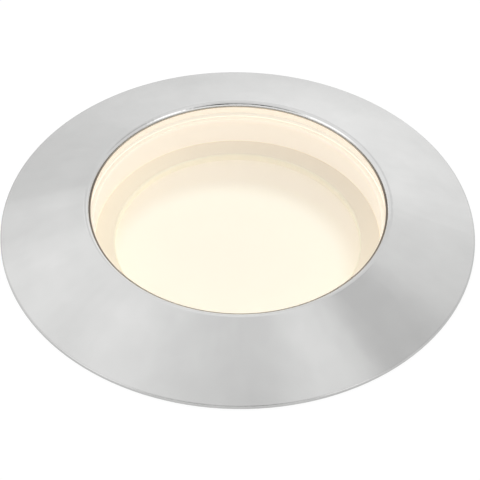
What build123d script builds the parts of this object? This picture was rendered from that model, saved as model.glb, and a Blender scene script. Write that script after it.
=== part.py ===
from build123d import *
import math
import os

# Recessed deck light with a conical steel bezel, a flush glass lens and two spring clips.
# Millimetres. The origin is the centre of the deck surface that the bezel seats on, +Z up out of the deck.

# Overrun of every cut past the face that it opens
overrun = 1.0
# Running gap of a piece that turns beside another, and the play of a pin in its hole
side_gap = 0.15
pin_play = 0.05
# Slip clearance of pieces that drop into each other, and how near two edges must be to be the same edge
slip = 0.05
edge_match = 0.02

# Bezel, whose outer edge overhangs its seal
window_radius = 14.05
rim_height = 4.19
rim_round = 0.4
bezel_overhang = 1.8
bezel_edge_height = 0.3
bezel_edge_round = 0.1
bezel_lift = 0.1
bezel_edge_top = bezel_lift + bezel_edge_height

# Lens: a neck that fills the window and a flange that is trapped under the bezel
lens_setback = 0.54
lens_neck_height = 1.35
lens_flange_height = 1.1
lens_flange_width = 0.97
lens_edge_chamfer = 0.1
lens_seal_width = 0.12
lens_seal_setback = 0.1
lens_seal_ledge = 0.4
lens_gasket_thickness = 0.5
lens_gasket_width = 0.8
lens_top = rim_height - lens_setback
lens_neck_radius = window_radius - lens_seal_width
lens_flange_radius = lens_neck_radius + lens_flange_width
lens_shoulder = lens_top - lens_neck_height
lens_bottom = lens_shoulder - lens_flange_height
lip_underside = lens_shoulder + lens_seal_ledge
lens_pocket_radius = lens_flange_radius + slip
lens_gasket_outer = lens_flange_radius - slip
lens_gasket_inner = lens_gasket_outer - lens_gasket_width

# Light chamber and diffuser, under the lens
chamber_wall = 0.4
chamber_depth = 2.85
diffuser_ring_thickness = 0.75
diffuser_ring_width = 1.9
diffuser_ring_chamfer = 0.15
diffuser_thickness = 1.2
chamber_outer_radius = lens_gasket_inner - slip
chamber_inner_radius = chamber_outer_radius - chamber_wall
diffuser_ring_top = lens_bottom - chamber_depth
diffuser_ring_outer = chamber_inner_radius - slip
diffuser_ring_inner = diffuser_ring_outer - diffuser_ring_width
diffuser_top = diffuser_ring_top - diffuser_ring_thickness
diffuser_bottom = diffuser_top - diffuser_thickness

# Screws of one small thread size, with a round head and a six-sided socket
thread_radius = 0.8
screw_play = 0.08
screw_head_radius = 1.3
screw_head_height = 1.0
screw_socket_radius = 0.55
screw_socket_depth = 0.5
screw_tip_gap = 0.2
screw_clearance_radius = thread_radius + screw_play

# Lamp housing: the aluminium cup that fills the hole in the deck and carries the heat away
clamp_screw_wall = 0.35
clamp_screw_cover = 1.4
housing_depth = 14.0
housing_floor = 4.3
housing_bore_gap = 0.3
housing_edge_chamfer = 0.3
can_spigot_height = 4.0
can_spigot_wall = 1.5
clamp_screw_circle = lens_pocket_radius + clamp_screw_wall + thread_radius
housing_radius = clamp_screw_circle + clamp_screw_cover
housing_bottom = -housing_depth
floor_top = housing_bottom + housing_floor
housing_bore_radius = chamber_outer_radius + housing_bore_gap
housing_spigot_top = lens_bottom - lens_gasket_thickness

# Seal under the bezel, outside the cup
flange_seal_gap = 0.4
flange_seal_width = 2.8
flange_seal_thickness = 0.7
flange_seal_inner = housing_radius + flange_seal_gap
flange_seal_outer = flange_seal_inner + flange_seal_width
bezel_radius = flange_seal_outer + bezel_overhang
bezel_slope = (rim_height - bezel_edge_top) / (bezel_radius - window_radius)

# Clamp screws: up through the cup into the bezel, with their heads in open flutes
clamp_screw_angles = (90.0, 210.0, 330.0)
clamp_flute_depth = 6.0
clamp_flute_play = 0.2
clamp_thread_roof = 0.6
clamp_flute_radius = screw_head_radius + clamp_flute_play
clamp_flute_top = housing_bottom + clamp_flute_depth
clamp_thread_edge = clamp_screw_circle + thread_radius
clamp_thread_top = rim_height - bezel_slope * (clamp_thread_edge - window_radius) - clamp_thread_roof

# Light board, and the reflector between it and the diffuser
led_board_gap = 0.7
led_board_thickness = 1.0
thermal_pad_margin = 0.7
thermal_pad_thickness = 0.3
reflector_flange = 0.6
reflector_wall = 0.6
reflector_mouth_margin = 0.6
reflector_base_margin = 0.4
led_board_radius = housing_bore_radius - led_board_gap
thermal_pad_radius = led_board_radius - thermal_pad_margin
thermal_pad_top = floor_top + thermal_pad_thickness
led_board_top = thermal_pad_top + led_board_thickness
reflector_mouth_radius = chamber_inner_radius - reflector_mouth_margin

# Light emitting diodes: one in the middle and a ring about it
led_length = 3.5
led_width = 2.8
led_height = 0.7
led_window_diameter = 2.2
led_window_height = 0.15
led_spacing = 0.75
led_ring_count = 6
led_ring_radius = led_length / 2 + led_width / 2 + led_spacing

# Screws of the light board, just outside the diodes and inside the foot of the reflector
led_screw_gap = 0.3
led_screw_grip = 1.9
led_screw_angles = (0.0, 180.0)
led_screw_circle = led_ring_radius + led_width / 2 + led_screw_gap + screw_head_radius
reflector_base_radius = led_screw_circle + screw_head_radius + reflector_base_margin
led_screw_length = thermal_pad_thickness + led_board_thickness + led_screw_grip

# Driver can: closed below by the rear cover, screwed on to the spigot under the cup
can_diameter = 25.0
can_wall = 1.5
can_length = 23.5
can_gasket_thickness = 0.5
can_gasket_margin = 0.2
post_radius = 1.5
post_bite = 0.2
post_angles = (90.0, 210.0, 330.0)
can_outer_radius = can_diameter / 2
can_inner_radius = can_outer_radius - can_wall
can_top = housing_bottom - can_gasket_thickness
can_bottom = can_top - can_length
can_spigot_radius = can_inner_radius - slip
can_spigot_bore = can_spigot_radius - can_spigot_wall
post_circle = can_inner_radius - post_radius + post_bite

# Cooling fins under the cup, round the driver can
fin_count = 24
fin_thickness = 0.9
fin_height = 5.0
fin_inner_gap = 0.7
fin_outer_margin = 0.4
fin_keep_out_angle = 12.0
fin_inner_radius = can_outer_radius + fin_inner_gap
fin_outer_radius = housing_radius - fin_outer_margin

# Rear cover and its gasket
cover_gasket_thickness = 0.5
cover_gasket_margin = 0.1
cover_thickness = 2.5
cover_chamfer = 0.6
cover_sink_play = 0.2
cover_sink_depth = 1.3
cover_screw_grip = 4.1
cover_top = can_bottom - cover_gasket_thickness
cover_bottom = cover_top - cover_thickness
cover_gasket_outer = can_outer_radius - cover_gasket_margin
cover_gasket_inner = post_circle + post_radius + cover_gasket_margin
cover_sink_radius = screw_head_radius + cover_sink_play
cover_screw_length = cover_thickness - cover_sink_depth + cover_screw_grip

# Cable gland
gland_thread_radius = 4.0
gland_bore_radius = 2.7
gland_hex_across = 11.0
gland_hex_height = 3.0
gland_stub_radius = 4.6
gland_stub_length = 6.0
gland_stub_wall = 0.7
gland_seat_depth = 5.0
gland_ring_thickness = 0.6
gland_ring_margin = 0.3
locknut_across = 12.0
locknut_height = 2.0
gland_thread_spare = 0.8
cable_radius = 2.5
gland_seal_spare = 0.7
gland_cap_wall = 1.2
gland_cap_gap = 0.6
gland_cap_mouth_margin = 0.6
gland_cap_lip = 2.0
gland_cap_chamfer = 1.2
gland_rib_count = 12
gland_rib_radius = 0.5
gland_stub_bore = gland_stub_radius - gland_stub_wall
gland_ring_outer = gland_hex_across / 2 - gland_ring_margin
gland_cap_radius = gland_stub_radius + gland_cap_wall
gland_cap_mouth_radius = cable_radius + gland_cap_mouth_margin
gland_ring_bottom = cover_bottom - gland_ring_thickness
gland_hex_bottom = gland_ring_bottom - gland_hex_height
gland_stub_bottom = gland_hex_bottom - gland_stub_length
gland_cap_top = gland_hex_bottom - gland_cap_gap
gland_seal_bottom = gland_stub_bottom - gland_seal_spare
gland_cap_bottom = gland_seal_bottom - gland_cap_lip
gland_thread_top = cover_top + locknut_height + gland_thread_spare

# Terminal block
terminal_width = 8.0
terminal_length = 6.0
terminal_height = 6.0
terminal_pitch = 4.0
terminal_entry_radius = 1.1
terminal_entry_depth = 3.6
terminal_screw_radius = 1.0
terminal_screw_depth = 2.0
terminal_slot_width = 0.3
terminal_slot_depth = 0.4
terminal_wire_room = 3.7
terminal_y = terminal_length / 2
post_top = gland_thread_top + terminal_wire_room + terminal_height

# Driver board and what it carries
driver_board_gap = 0.4
driver_board_thickness = 1.0
driver_screw_grip = 3.0
solder_radius = 0.95
solder_height = 0.6
driver_board_radius = can_inner_radius - driver_board_gap
driver_board_top = post_top + driver_board_thickness
driver_screw_length = driver_board_thickness + driver_screw_grip

# Capacitor
capacitor_radius = 2.4
capacitor_height = 5.6
capacitor_offset = 1.3
capacitor_lead_offset = 0.3
capacitor_groove_height = 0.9
capacitor_groove_width = 0.25
capacitor_top_round = 0.3
capacitor_x = capacitor_radius + capacitor_offset
capacitor_y = capacitor_radius + capacitor_lead_offset

# Inductor
inductor_radius = 3.0
inductor_core_radius = 1.3
inductor_winding_margin = 0.3
inductor_height = 4.6
inductor_flange = 0.8
inductor_offset = 0.6
inductor_lead_offset = 0.1
inductor_x = -inductor_radius - inductor_offset
inductor_y = inductor_radius + inductor_lead_offset
inductor_winding_radius = inductor_radius - inductor_winding_margin

# Chip packages with two rows of legs
chip_width = 3.6
chip_length = 4.0
chip_height = 1.5
chip_offset = 0.3
chip_lead_gap = 0.5
chip_stand_off = 0.2
leg_count = 4
leg_width = 0.4
leg_thickness = 0.2
leg_reach = 0.5
leg_pitch = 0.9
chip_x = chip_length / 2 + chip_offset
chip_half_reach = chip_width / 2 + leg_reach + leg_thickness

# Leads between the driver board and the light board
lead_radius = 0.5
lead_hole_play = 0.4
lead_spread_low = 1.6
lead_y_low = -1.0
lead_spread_high = 1.1
lead_clear_of_diodes = 0.6
lead_rise = 3.5
lead_drop = 2.5
lead_bend_share = 0.45
lead_y_high = -led_ring_radius - led_length / 2 - lead_clear_of_diodes
chip_y = lead_y_low - lead_radius - chip_lead_gap - chip_half_reach
lead_bend_low = driver_board_top + lead_rise
lead_bend_high = housing_bottom - lead_drop

# Clip pin and the coiled spring round it
clip_pin_radius = 0.8
clip_pin_head_radius = 1.2
clip_pin_head_height = 0.4
spring_wire_diameter = 0.5
spring_pin_gap = 0.2
spring_half_length = 2.75
spring_full_turns = 4
spring_seat_gap = 0.1
spring_plate_gap = 0.15
spring_web_gap = 0.25
spring_outer_radius = clip_pin_radius + spring_pin_gap + spring_wire_diameter
spring_mean_radius = spring_outer_radius - spring_wire_diameter / 2

# Clip bracket, on a flat of the can
clip_turns = {"right": 0.0, "left": 180.0}
clip_flat_proud = 0.3
clip_flat_margin = 0.3
bracket_thickness = 0.6
bracket_half_width = 4.75
bracket_ear_radius = 1.5
bracket_lip_setback = 0.4
bracket_lip_gap = 0.11
clip_pivot_height = 8.0
clip_screw_spread = 2.0
clip_screw_gap = 0.5
clip_screw_margin = 0.4
clip_thread_depth = 1.5
clip_flat_x = can_outer_radius + clip_flat_proud
clip_flat_half_width = bracket_half_width + clip_flat_margin
bracket_plate_x = clip_flat_x + bracket_thickness
pivot_x = bracket_plate_x + spring_plate_gap + spring_outer_radius
pivot_z = can_bottom + clip_pivot_height
clip_screw_z = pivot_z - bracket_ear_radius - clip_screw_gap - screw_head_radius
clip_screw_length = bracket_thickness + clip_thread_depth - screw_tip_gap
bracket_bottom = clip_screw_z - screw_head_radius - clip_screw_margin

# Arm, in its own frame: along the arm from the pin, and up from the pin
arm_rest_angle = 35.0
arm_reach = 18.8
arm_web_start = 0.7
arm_thickness = 0.5
arm_cheek_thickness = 0.6
arm_cheek_length = 6.3
arm_cheek_wall = 0.55
arm_tip_half_width = 2.6
arm_tip_round = 1.2
arm_rib_start = 5.0
arm_rib_gap = 1.4
arm_rib_radius = 0.5
arm_cheek_heel_angle = 125.0
arm_cheek_toe_angle = -50.0
arm_web_underside = spring_outer_radius + spring_web_gap
arm_web_top = arm_web_underside + arm_thickness
arm_half_width = bracket_half_width - bracket_thickness - side_gap
arm_cheek_radius = clip_pin_radius + pin_play + arm_cheek_wall
arm_cheek_end = arm_web_start + arm_cheek_length

# Rubber pad that presses on the underside of the deck
pad_length = 4.0
pad_tip_margin = 0.4
pad_side_margin = 0.5
pad_thickness = 1.1
pad_round = 0.4
pad_stem_radius = 0.7
pad_button_radius = 1.1
pad_button_height = 0.5
pad_end = arm_reach - pad_tip_margin
pad_start = pad_end - pad_length
pad_middle = (pad_start + pad_end) / 2
pad_half_width = arm_tip_half_width - pad_side_margin
arm_rib_end = pad_start - arm_rib_gap


def ring(outer_radius, inner_radius, bottom, top):
    """A flat ring about the axis, between two heights."""
    height = top - bottom
    outer = extrude(Circle(outer_radius), height)
    bore = extrude(Circle(inner_radius), height + overrun + overrun)
    return Pos(0, 0, bottom) * (outer - Pos(0, 0, -overrun) * bore)


def disc(radius, bottom, top):
    """A round plate about the axis, between two heights."""
    return Pos(0, 0, bottom) * extrude(Circle(radius), top - bottom)


def turned(points):
    """A solid turned about the axis from an outline of radius and height pairs."""
    outline = Polyline([(radius, 0, height) for radius, height in points], close=True)
    return revolve(make_face(outline), Axis.Z)


def circular_edges(solid, radius, height):
    """The round edges of one radius that lie at one height."""
    found = []
    for edge in solid.edges().filter_by(GeomType.CIRCLE):
        same_radius = abs(edge.radius - radius) < edge_match
        same_height = abs(edge.arc_center.Z - height) < edge_match
        if same_radius and same_height:
            found.append(edge)
    return found


def around(circle_radius, angle, shape):
    """A shape moved out to a circle about the axis, at one angle."""
    return Rot(0, 0, angle) * Pos(circle_radius, 0, 0) * shape


def screw(length):
    """A screw that points up, with the underside of its head at zero."""
    head = Pos(0, 0, -screw_head_height) * extrude(Circle(screw_head_radius), screw_head_height)
    socket_outline = RegularPolygon(screw_socket_radius, 6)
    socket = extrude(socket_outline, screw_socket_depth + overrun)
    shank = extrude(Circle(thread_radius), length)
    body = head + shank
    return body - Pos(0, 0, -screw_head_height - overrun) * socket


def save(name, shape):
    """Write one named piece, or one group of like pieces, as its own file."""
    shape.label = name
    export_step(shape, os.path.join("parts", name + ".step"))


# Top of the light

def make_bezel():
    """The conical ring, with a pocket for the lens, a groove for the seal and three blind threads."""
    groove_inner = flange_seal_inner - slip
    groove_outer = flange_seal_outer + slip
    body = turned([
        (window_radius, lip_underside),
        (window_radius, rim_height),
        (bezel_radius, bezel_edge_top),
        (bezel_radius, bezel_lift),
        (groove_outer, bezel_lift),
        (groove_outer, flange_seal_thickness),
        (groove_inner, flange_seal_thickness),
        (groove_inner, bezel_lift),
        (lens_pocket_radius, bezel_lift),
        (lens_pocket_radius, lip_underside),
    ])
    body = fillet(circular_edges(body, window_radius, rim_height), rim_round)
    outer_edge = circular_edges(body, bezel_radius, bezel_edge_top)
    body = fillet(outer_edge, bezel_edge_round)
    thread = Pos(0, 0, -overrun) * extrude(Circle(thread_radius), clamp_thread_top + overrun)
    for angle in clamp_screw_angles:
        body -= around(clamp_screw_circle, angle, thread)
    return body


def make_flange_seal():
    """The rubber ring between the bezel and the deck."""
    return ring(flange_seal_outer, flange_seal_inner, 0, flange_seal_thickness)


def make_lens():
    """The glass, with a neck that stands in the window and a wider flange below."""
    body = turned([
        (0, lens_top),
        (lens_neck_radius, lens_top),
        (lens_neck_radius, lens_shoulder),
        (lens_flange_radius, lens_shoulder),
        (lens_flange_radius, lens_bottom),
        (0, lens_bottom),
    ])
    return chamfer(circular_edges(body, lens_neck_radius, lens_top), lens_edge_chamfer)


def make_lens_seal():
    """The dark ring round the neck of the lens, with a ledge under the lip of the bezel."""
    seal_top = lens_top - lens_seal_setback
    return turned([
        (lens_neck_radius, lens_shoulder),
        (lens_flange_radius, lens_shoulder),
        (lens_flange_radius, lip_underside),
        (window_radius, lip_underside),
        (window_radius, seal_top),
        (lens_neck_radius, seal_top),
    ])


def make_lens_gasket():
    """The flat gasket between the flange of the lens and the rim of the cup."""
    return ring(lens_gasket_outer, lens_gasket_inner, housing_spigot_top, lens_bottom)


# Light chamber

def make_light_chamber():
    """The white tube that lines the cup between the lens and the diffuser."""
    return ring(chamber_outer_radius, chamber_inner_radius, diffuser_top, lens_bottom)


def make_diffuser_ring():
    """The white ring that holds the edge of the diffuser down."""
    body = ring(diffuser_ring_outer, diffuser_ring_inner, diffuser_top, diffuser_ring_top)
    inner_edge = circular_edges(body, diffuser_ring_inner, diffuser_ring_top)
    return chamfer(inner_edge, diffuser_ring_chamfer)


def make_diffuser():
    """The opal plate over the light board."""
    return disc(chamber_outer_radius, diffuser_bottom, diffuser_top)


def make_reflector():
    """The white cone that gathers the light of the board under the diffuser."""
    flange_bottom = diffuser_bottom - reflector_flange
    return turned([
        (reflector_base_radius, led_board_top),
        (reflector_mouth_radius, diffuser_bottom),
        (chamber_outer_radius, diffuser_bottom),
        (chamber_outer_radius, flange_bottom),
        (reflector_mouth_radius + reflector_wall, flange_bottom),
        (reflector_base_radius + reflector_wall, led_board_top),
    ])


def lead_holes(bottom, top, radius):
    """Holes for the two leads, between two heights, on the upper stretch of their run."""
    hole = extrude(Circle(radius), top - bottom)
    holes = []
    for side in (1, -1):
        holes.append(Pos(side * lead_spread_high, lead_y_high, bottom) * hole)
    return holes


def make_thermal_pad():
    """The soft pad that carries heat from the light board to the cup."""
    body = disc(thermal_pad_radius, floor_top, thermal_pad_top)
    low = floor_top - overrun
    high = thermal_pad_top + overrun
    body -= lead_holes(low, high, lead_radius + lead_hole_play)
    hole = Pos(0, 0, low) * extrude(Circle(screw_clearance_radius), high - low)
    for angle in led_screw_angles:
        body -= around(led_screw_circle, angle, hole)
    return body


def make_led_board():
    """The metal-cored board, with holes for its screws and for the leads."""
    body = disc(led_board_radius, thermal_pad_top, led_board_top)
    low = thermal_pad_top - overrun
    high = led_board_top + overrun
    body -= lead_holes(low, high, lead_radius)
    hole = Pos(0, 0, low) * extrude(Circle(screw_clearance_radius), high - low)
    for angle in led_screw_angles:
        body -= around(led_screw_circle, angle, hole)
    return body


def make_led():
    """One light emitting diode: a package with a low window on top."""
    package = extrude(Rectangle(led_length, led_width), led_height)
    window = extrude(Circle(led_window_diameter / 2), led_window_height)
    return package + Pos(0, 0, led_height) * window


def make_led_emitters():
    """All the diodes on the board."""
    led = Pos(0, 0, led_board_top) * make_led()
    emitters = [led]
    for index in range(led_ring_count):
        emitters.append(around(led_ring_radius, 360.0 * index / led_ring_count, Rot(0, 0, 90) * led))
    return Compound(children=emitters)


def make_led_board_screws():
    """The two screws that clamp the board to the floor of the cup, heads up."""
    one = Pos(0, 0, led_board_top) * Rot(180, 0, 0) * screw(led_screw_length)
    return Compound(children=[around(led_screw_circle, angle, one) for angle in led_screw_angles])


# Housing

def far_from_screws(angle):
    """Whether a fin at this angle leaves the flutes of the clamp screws free."""
    for screw_angle in clamp_screw_angles:
        if abs(angle - screw_angle) < fin_keep_out_angle:
            return False
    return True


def make_fins():
    """The cooling fins that hang from the underside of the cup."""
    length = fin_outer_radius - fin_inner_radius
    outline = Pos(fin_inner_radius + length / 2, 0, 0) * Rectangle(length, fin_thickness)
    fin = Pos(0, 0, housing_bottom - fin_height) * extrude(outline, fin_height + overrun)
    fins = []
    for index in range(fin_count):
        angle = 360.0 * index / fin_count
        if far_from_screws(angle):
            fins.append(Rot(0, 0, angle) * fin)
    return fins


def make_lamp_housing():
    """The aluminium cup, with a rim that centres it in the bezel and a spigot for the driver can."""
    body = turned([
        (0, floor_top),
        (housing_bore_radius, floor_top),
        (housing_bore_radius, housing_spigot_top),
        (lens_gasket_outer, housing_spigot_top),
        (lens_gasket_outer, bezel_lift),
        (housing_radius, bezel_lift),
        (housing_radius, housing_bottom),
        (can_spigot_radius, housing_bottom),
        (can_spigot_radius, housing_bottom - can_spigot_height),
        (can_spigot_bore, housing_bottom - can_spigot_height),
        (can_spigot_bore, housing_bottom),
        (0, housing_bottom),
    ])
    body = chamfer(circular_edges(body, housing_radius, housing_bottom), housing_edge_chamfer)
    body += make_fins()
    flute_depth = clamp_flute_depth + fin_height + overrun
    flute = Pos(0, 0, clamp_flute_top - flute_depth) * extrude(Circle(clamp_flute_radius), flute_depth)
    hole_depth = bezel_lift - clamp_flute_top + overrun
    hole = Pos(0, 0, clamp_flute_top) * extrude(Circle(screw_clearance_radius), hole_depth)
    for angle in clamp_screw_angles:
        body -= around(clamp_screw_circle, angle, flute)
        body -= around(clamp_screw_circle, angle, hole)
    thread_depth = led_screw_grip + screw_tip_gap
    thread = Pos(0, 0, floor_top - thread_depth) * extrude(Circle(thread_radius), thread_depth + overrun)
    for angle in led_screw_angles:
        body -= around(led_screw_circle, angle, thread)
    body -= lead_holes(housing_bottom - overrun, floor_top + overrun, lead_radius + lead_hole_play)
    return body


def make_clamp_screws():
    """The three screws that draw the cup up against the bezel and trap the lens."""
    length = clamp_thread_top - clamp_flute_top - screw_tip_gap
    one = Pos(0, 0, clamp_flute_top) * screw(length)
    return Compound(children=[around(clamp_screw_circle, angle, one) for angle in clamp_screw_angles])


# Driver can

def make_can_gasket():
    """The gasket between the underside of the cup and the driver can."""
    return ring(can_outer_radius - can_gasket_margin, can_inner_radius, can_top, housing_bottom)


def make_driver_can():
    """The can round the driver, with two flats for the clips and three screw posts inside."""
    body = disc(can_outer_radius, can_bottom, can_top)
    boss_bottom = bracket_bottom - clip_flat_margin
    boss_top = bracket_lip_bottom() + bracket_thickness + clip_flat_margin
    boss_outline = Rectangle(clip_flat_x + clip_flat_x, clip_flat_half_width + clip_flat_half_width)
    body += Pos(0, 0, boss_bottom) * extrude(boss_outline, boss_top - boss_bottom)
    bore_depth = can_top - can_bottom + overrun + overrun
    body -= Pos(0, 0, can_bottom - overrun) * extrude(Circle(can_inner_radius), bore_depth)
    post = extrude(Circle(post_radius), post_top - cover_top)
    for angle in post_angles:
        body += around(post_circle, angle, Pos(0, 0, cover_top) * post)
    lower_depth = cover_screw_grip + screw_tip_gap
    lower = Pos(0, 0, cover_top - overrun) * extrude(Circle(thread_radius), lower_depth + overrun)
    upper_depth = driver_screw_grip + screw_tip_gap
    upper = Pos(0, 0, post_top - upper_depth) * extrude(Circle(thread_radius), upper_depth + overrun)
    for angle in post_angles:
        body -= around(post_circle, angle, lower)
        body -= around(post_circle, angle, upper)
    for side in (1, -1):
        mouth = (clip_flat_x + overrun, side * clip_screw_spread, clip_screw_z)
        thread = Plane(origin=mouth, z_dir=(-1, 0, 0))
        hole = thread * extrude(Circle(thread_radius), clip_thread_depth + overrun)
        for turn in clip_turns.values():
            body -= Rot(0, 0, turn) * hole
    return body


def make_driver_board():
    """The round board on the three posts, with holes for its screws and for the leads."""
    body = disc(driver_board_radius, post_top, driver_board_top)
    depth = driver_board_thickness + overrun + overrun
    hole = Pos(0, 0, post_top - overrun) * extrude(Circle(screw_clearance_radius), depth)
    for angle in post_angles:
        body -= around(post_circle, angle, hole)
    lead_hole = Pos(0, lead_y_low, post_top - overrun) * extrude(Circle(lead_radius), depth)
    for side in (1, -1):
        body -= Pos(side * lead_spread_low, 0, 0) * lead_hole
    return body


def make_driver_board_screws():
    """The three screws that hold the driver board on its posts, heads up."""
    one = Pos(0, 0, driver_board_top) * Rot(180, 0, 0) * screw(driver_screw_length)
    return Compound(children=[around(post_circle, angle, one) for angle in post_angles])


def make_input_capacitor():
    """The round capacitor, with its crimp groove near the foot."""
    can = extrude(Circle(capacitor_radius), capacitor_height)
    can = fillet(circular_edges(can, capacitor_radius, capacitor_height), capacitor_top_round)
    band = extrude(Circle(capacitor_radius + overrun), capacitor_groove_width)
    core = extrude(Circle(capacitor_radius - capacitor_groove_width), capacitor_groove_width)
    can -= Pos(0, 0, capacitor_groove_height) * (band - core)
    return Pos(capacitor_x, capacitor_y, driver_board_top) * can


def make_inductor_core():
    """The ferrite drum core of the inductor."""
    flange = extrude(Circle(inductor_radius), inductor_flange)
    core = extrude(Circle(inductor_core_radius), inductor_height)
    drum = flange + core + Pos(0, 0, inductor_height - inductor_flange) * flange
    return Pos(inductor_x, inductor_y, driver_board_top) * drum


def make_inductor_winding():
    """The wound copper inside the drum core, as one closed ring."""
    low = driver_board_top + inductor_flange
    high = driver_board_top + inductor_height - inductor_flange
    winding = ring(inductor_winding_radius, inductor_core_radius, low, high)
    return Pos(inductor_x, inductor_y, 0) * winding


def make_chip():
    """A chip package on two rows of bent legs."""
    package = Pos(0, 0, chip_stand_off) * extrude(Rectangle(chip_width, chip_length), chip_height)
    leg_height = chip_stand_off + chip_height / 2
    foot_length = leg_reach + leg_thickness
    foot_x = chip_width / 2 + foot_length / 2
    foot = Pos(foot_x, 0, 0) * extrude(Rectangle(foot_length, leg_width), leg_thickness)
    rise_x = chip_width / 2 + leg_thickness / 2
    rise = Pos(rise_x, 0, 0) * extrude(Rectangle(leg_thickness, leg_width), leg_height)
    leg = foot + rise
    for index in range(leg_count):
        y = (index - (leg_count - 1) / 2) * leg_pitch
        package += Pos(0, y, 0) * leg
        package += Rot(0, 0, 180) * Pos(0, y, 0) * leg
    return package


def make_bridge_rectifier():
    """The rectifier that takes in either polarity of the supply."""
    return Pos(chip_x, chip_y, driver_board_top) * Rot(0, 0, 90) * make_chip()


def make_driver_chip():
    """The chip that sets the current of the diodes."""
    return Pos(-chip_x, chip_y, driver_board_top) * Rot(0, 0, 90) * make_chip()


def terminal_screw_sites():
    """Middles of the two clamping screws, on the face of the block."""
    face_y = terminal_y + terminal_length / 2
    height = post_top - terminal_height / 2
    return [(side * terminal_pitch / 2, face_y, height) for side in (1, -1)]


def make_terminal_block():
    """The two-way block that the supply wires enter from below."""
    outline = Pos(0, terminal_y, 0) * Rectangle(terminal_width, terminal_length)
    bottom = post_top - terminal_height
    body = Pos(0, 0, bottom) * extrude(outline, terminal_height)
    entry = extrude(Circle(terminal_entry_radius), terminal_entry_depth + overrun)
    for x, face_y, height in terminal_screw_sites():
        body -= Pos(x, terminal_y, bottom - overrun) * entry
        seat = Plane(origin=(x, face_y + overrun, height), z_dir=(0, -1, 0))
        body -= seat * extrude(Circle(terminal_screw_radius), terminal_screw_depth + overrun)
    return body


def make_terminal_screws():
    """The two slotted screws of the terminal block."""
    screws = []
    depth = terminal_screw_depth
    for x, face_y, height in terminal_screw_sites():
        plug = extrude(Circle(terminal_screw_radius), depth)
        slot_outline = Rectangle(terminal_screw_radius + terminal_screw_radius, terminal_slot_width)
        slot = extrude(slot_outline, terminal_slot_depth)
        place = Plane(origin=(x, face_y, height), z_dir=(0, -1, 0))
        screws.append(place * (plug - slot))
    return Compound(children=screws)


# Leads

def bend_radii(points):
    """The radius of each bend of a lead, as large as the shorter run beside it allows."""
    places = [Vector(*point) for point in points]
    runs = [after - before for before, after in zip(places, places[1:])]
    radii = []
    for before, after in zip(runs, runs[1:]):
        shorter = min(before.length, after.length)
        half_turn = math.radians(before.get_angle(after)) / 2
        radii.append(lead_bend_share * shorter / math.tan(half_turn))
    return radii


def make_lead(side):
    """One insulated lead, from the driver board up through the floor of the cup to the light board."""
    points = [
        (side * lead_spread_low, lead_y_low, post_top),
        (side * lead_spread_low, lead_y_low, lead_bend_low),
        (side * lead_spread_high, lead_y_high, lead_bend_high),
        (side * lead_spread_high, lead_y_high, led_board_top),
    ]
    path = FilletPolyline(*points, radius=bend_radii(points))
    section = Plane(origin=points[0], z_dir=(0, 0, 1)) * Circle(lead_radius)
    solid = sweep(section, path=path)
    filled = solid.volume / (math.pi * lead_radius * lead_radius * path.length)
    radii = ", ".join(f"{radius:.2f}" for radius in bend_radii(points))
    print(f"lead: bend radii {radii} mm, volume share {filled:.4f}")
    return solid


def make_solder_joints():
    """The solder domes at both ends of both leads."""
    dome = turned([
        (0, 0),
        (solder_radius, 0),
        (solder_radius - solder_height / 2, solder_height / 2),
        (lead_radius, solder_height),
        (0, solder_height),
    ])
    joints = []
    for side in (1, -1):
        joints.append(Pos(side * lead_spread_high, lead_y_high, led_board_top) * dome)
        joints.append(Pos(side * lead_spread_low, lead_y_low, post_top) * Rot(180, 0, 0) * dome)
    return Compound(children=joints)


# Rear cover and cable gland

def make_cover_gasket():
    """The gasket between the driver can and its cover."""
    return ring(cover_gasket_outer, cover_gasket_inner, cover_top, can_bottom)


def make_rear_cover():
    """The cover that closes the can, with a hole for the gland and three sunk screw seats."""
    body = ring(can_outer_radius, gland_thread_radius, cover_bottom, cover_top)
    body = chamfer(circular_edges(body, can_outer_radius, cover_bottom), cover_chamfer)
    depth = cover_thickness + overrun + overrun
    hole = Pos(0, 0, cover_bottom - overrun) * extrude(Circle(screw_clearance_radius), depth)
    sink = extrude(Circle(cover_sink_radius), cover_sink_depth + overrun)
    sink = Pos(0, 0, cover_bottom - overrun) * sink
    for angle in post_angles:
        body -= around(post_circle, angle, hole)
        body -= around(post_circle, angle, sink)
    return body


def make_cover_screws():
    """The three screws of the rear cover, heads down."""
    one = Pos(0, 0, cover_bottom + cover_sink_depth) * screw(cover_screw_length)
    return Compound(children=[around(post_circle, angle, one) for angle in post_angles])


def hexagon(across):
    """A six-sided outline of one width across its flats."""
    return RegularPolygon(across / 2, 6, major_radius=False)


def make_gland_body():
    """The body of the gland: a threaded neck through the cover, a hexagon and a hollow stub."""
    neck = disc(gland_thread_radius, gland_ring_bottom, gland_thread_top)
    nut = Pos(0, 0, gland_hex_bottom) * extrude(hexagon(gland_hex_across), gland_hex_height)
    stub = disc(gland_stub_radius, gland_stub_bottom, gland_hex_bottom)
    body = neck + nut + stub
    length = gland_thread_top - gland_stub_bottom + overrun + overrun
    body -= Pos(0, 0, gland_stub_bottom - overrun) * extrude(Circle(gland_bore_radius), length)
    seat_depth = gland_seat_depth + overrun
    body -= Pos(0, 0, gland_stub_bottom - overrun) * extrude(Circle(gland_stub_bore), seat_depth)
    return body


def make_gland_ring():
    """The sealing ring between the gland and the cover."""
    return ring(gland_ring_outer, gland_thread_radius, gland_ring_bottom, cover_bottom)


def make_gland_locknut():
    """The nut that holds the gland from inside the can."""
    body = Pos(0, 0, cover_top) * extrude(hexagon(locknut_across), locknut_height)
    bore_height = locknut_height + overrun + overrun
    bore = Pos(0, 0, cover_top - overrun) * extrude(Circle(gland_thread_radius), bore_height)
    return body - bore


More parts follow.
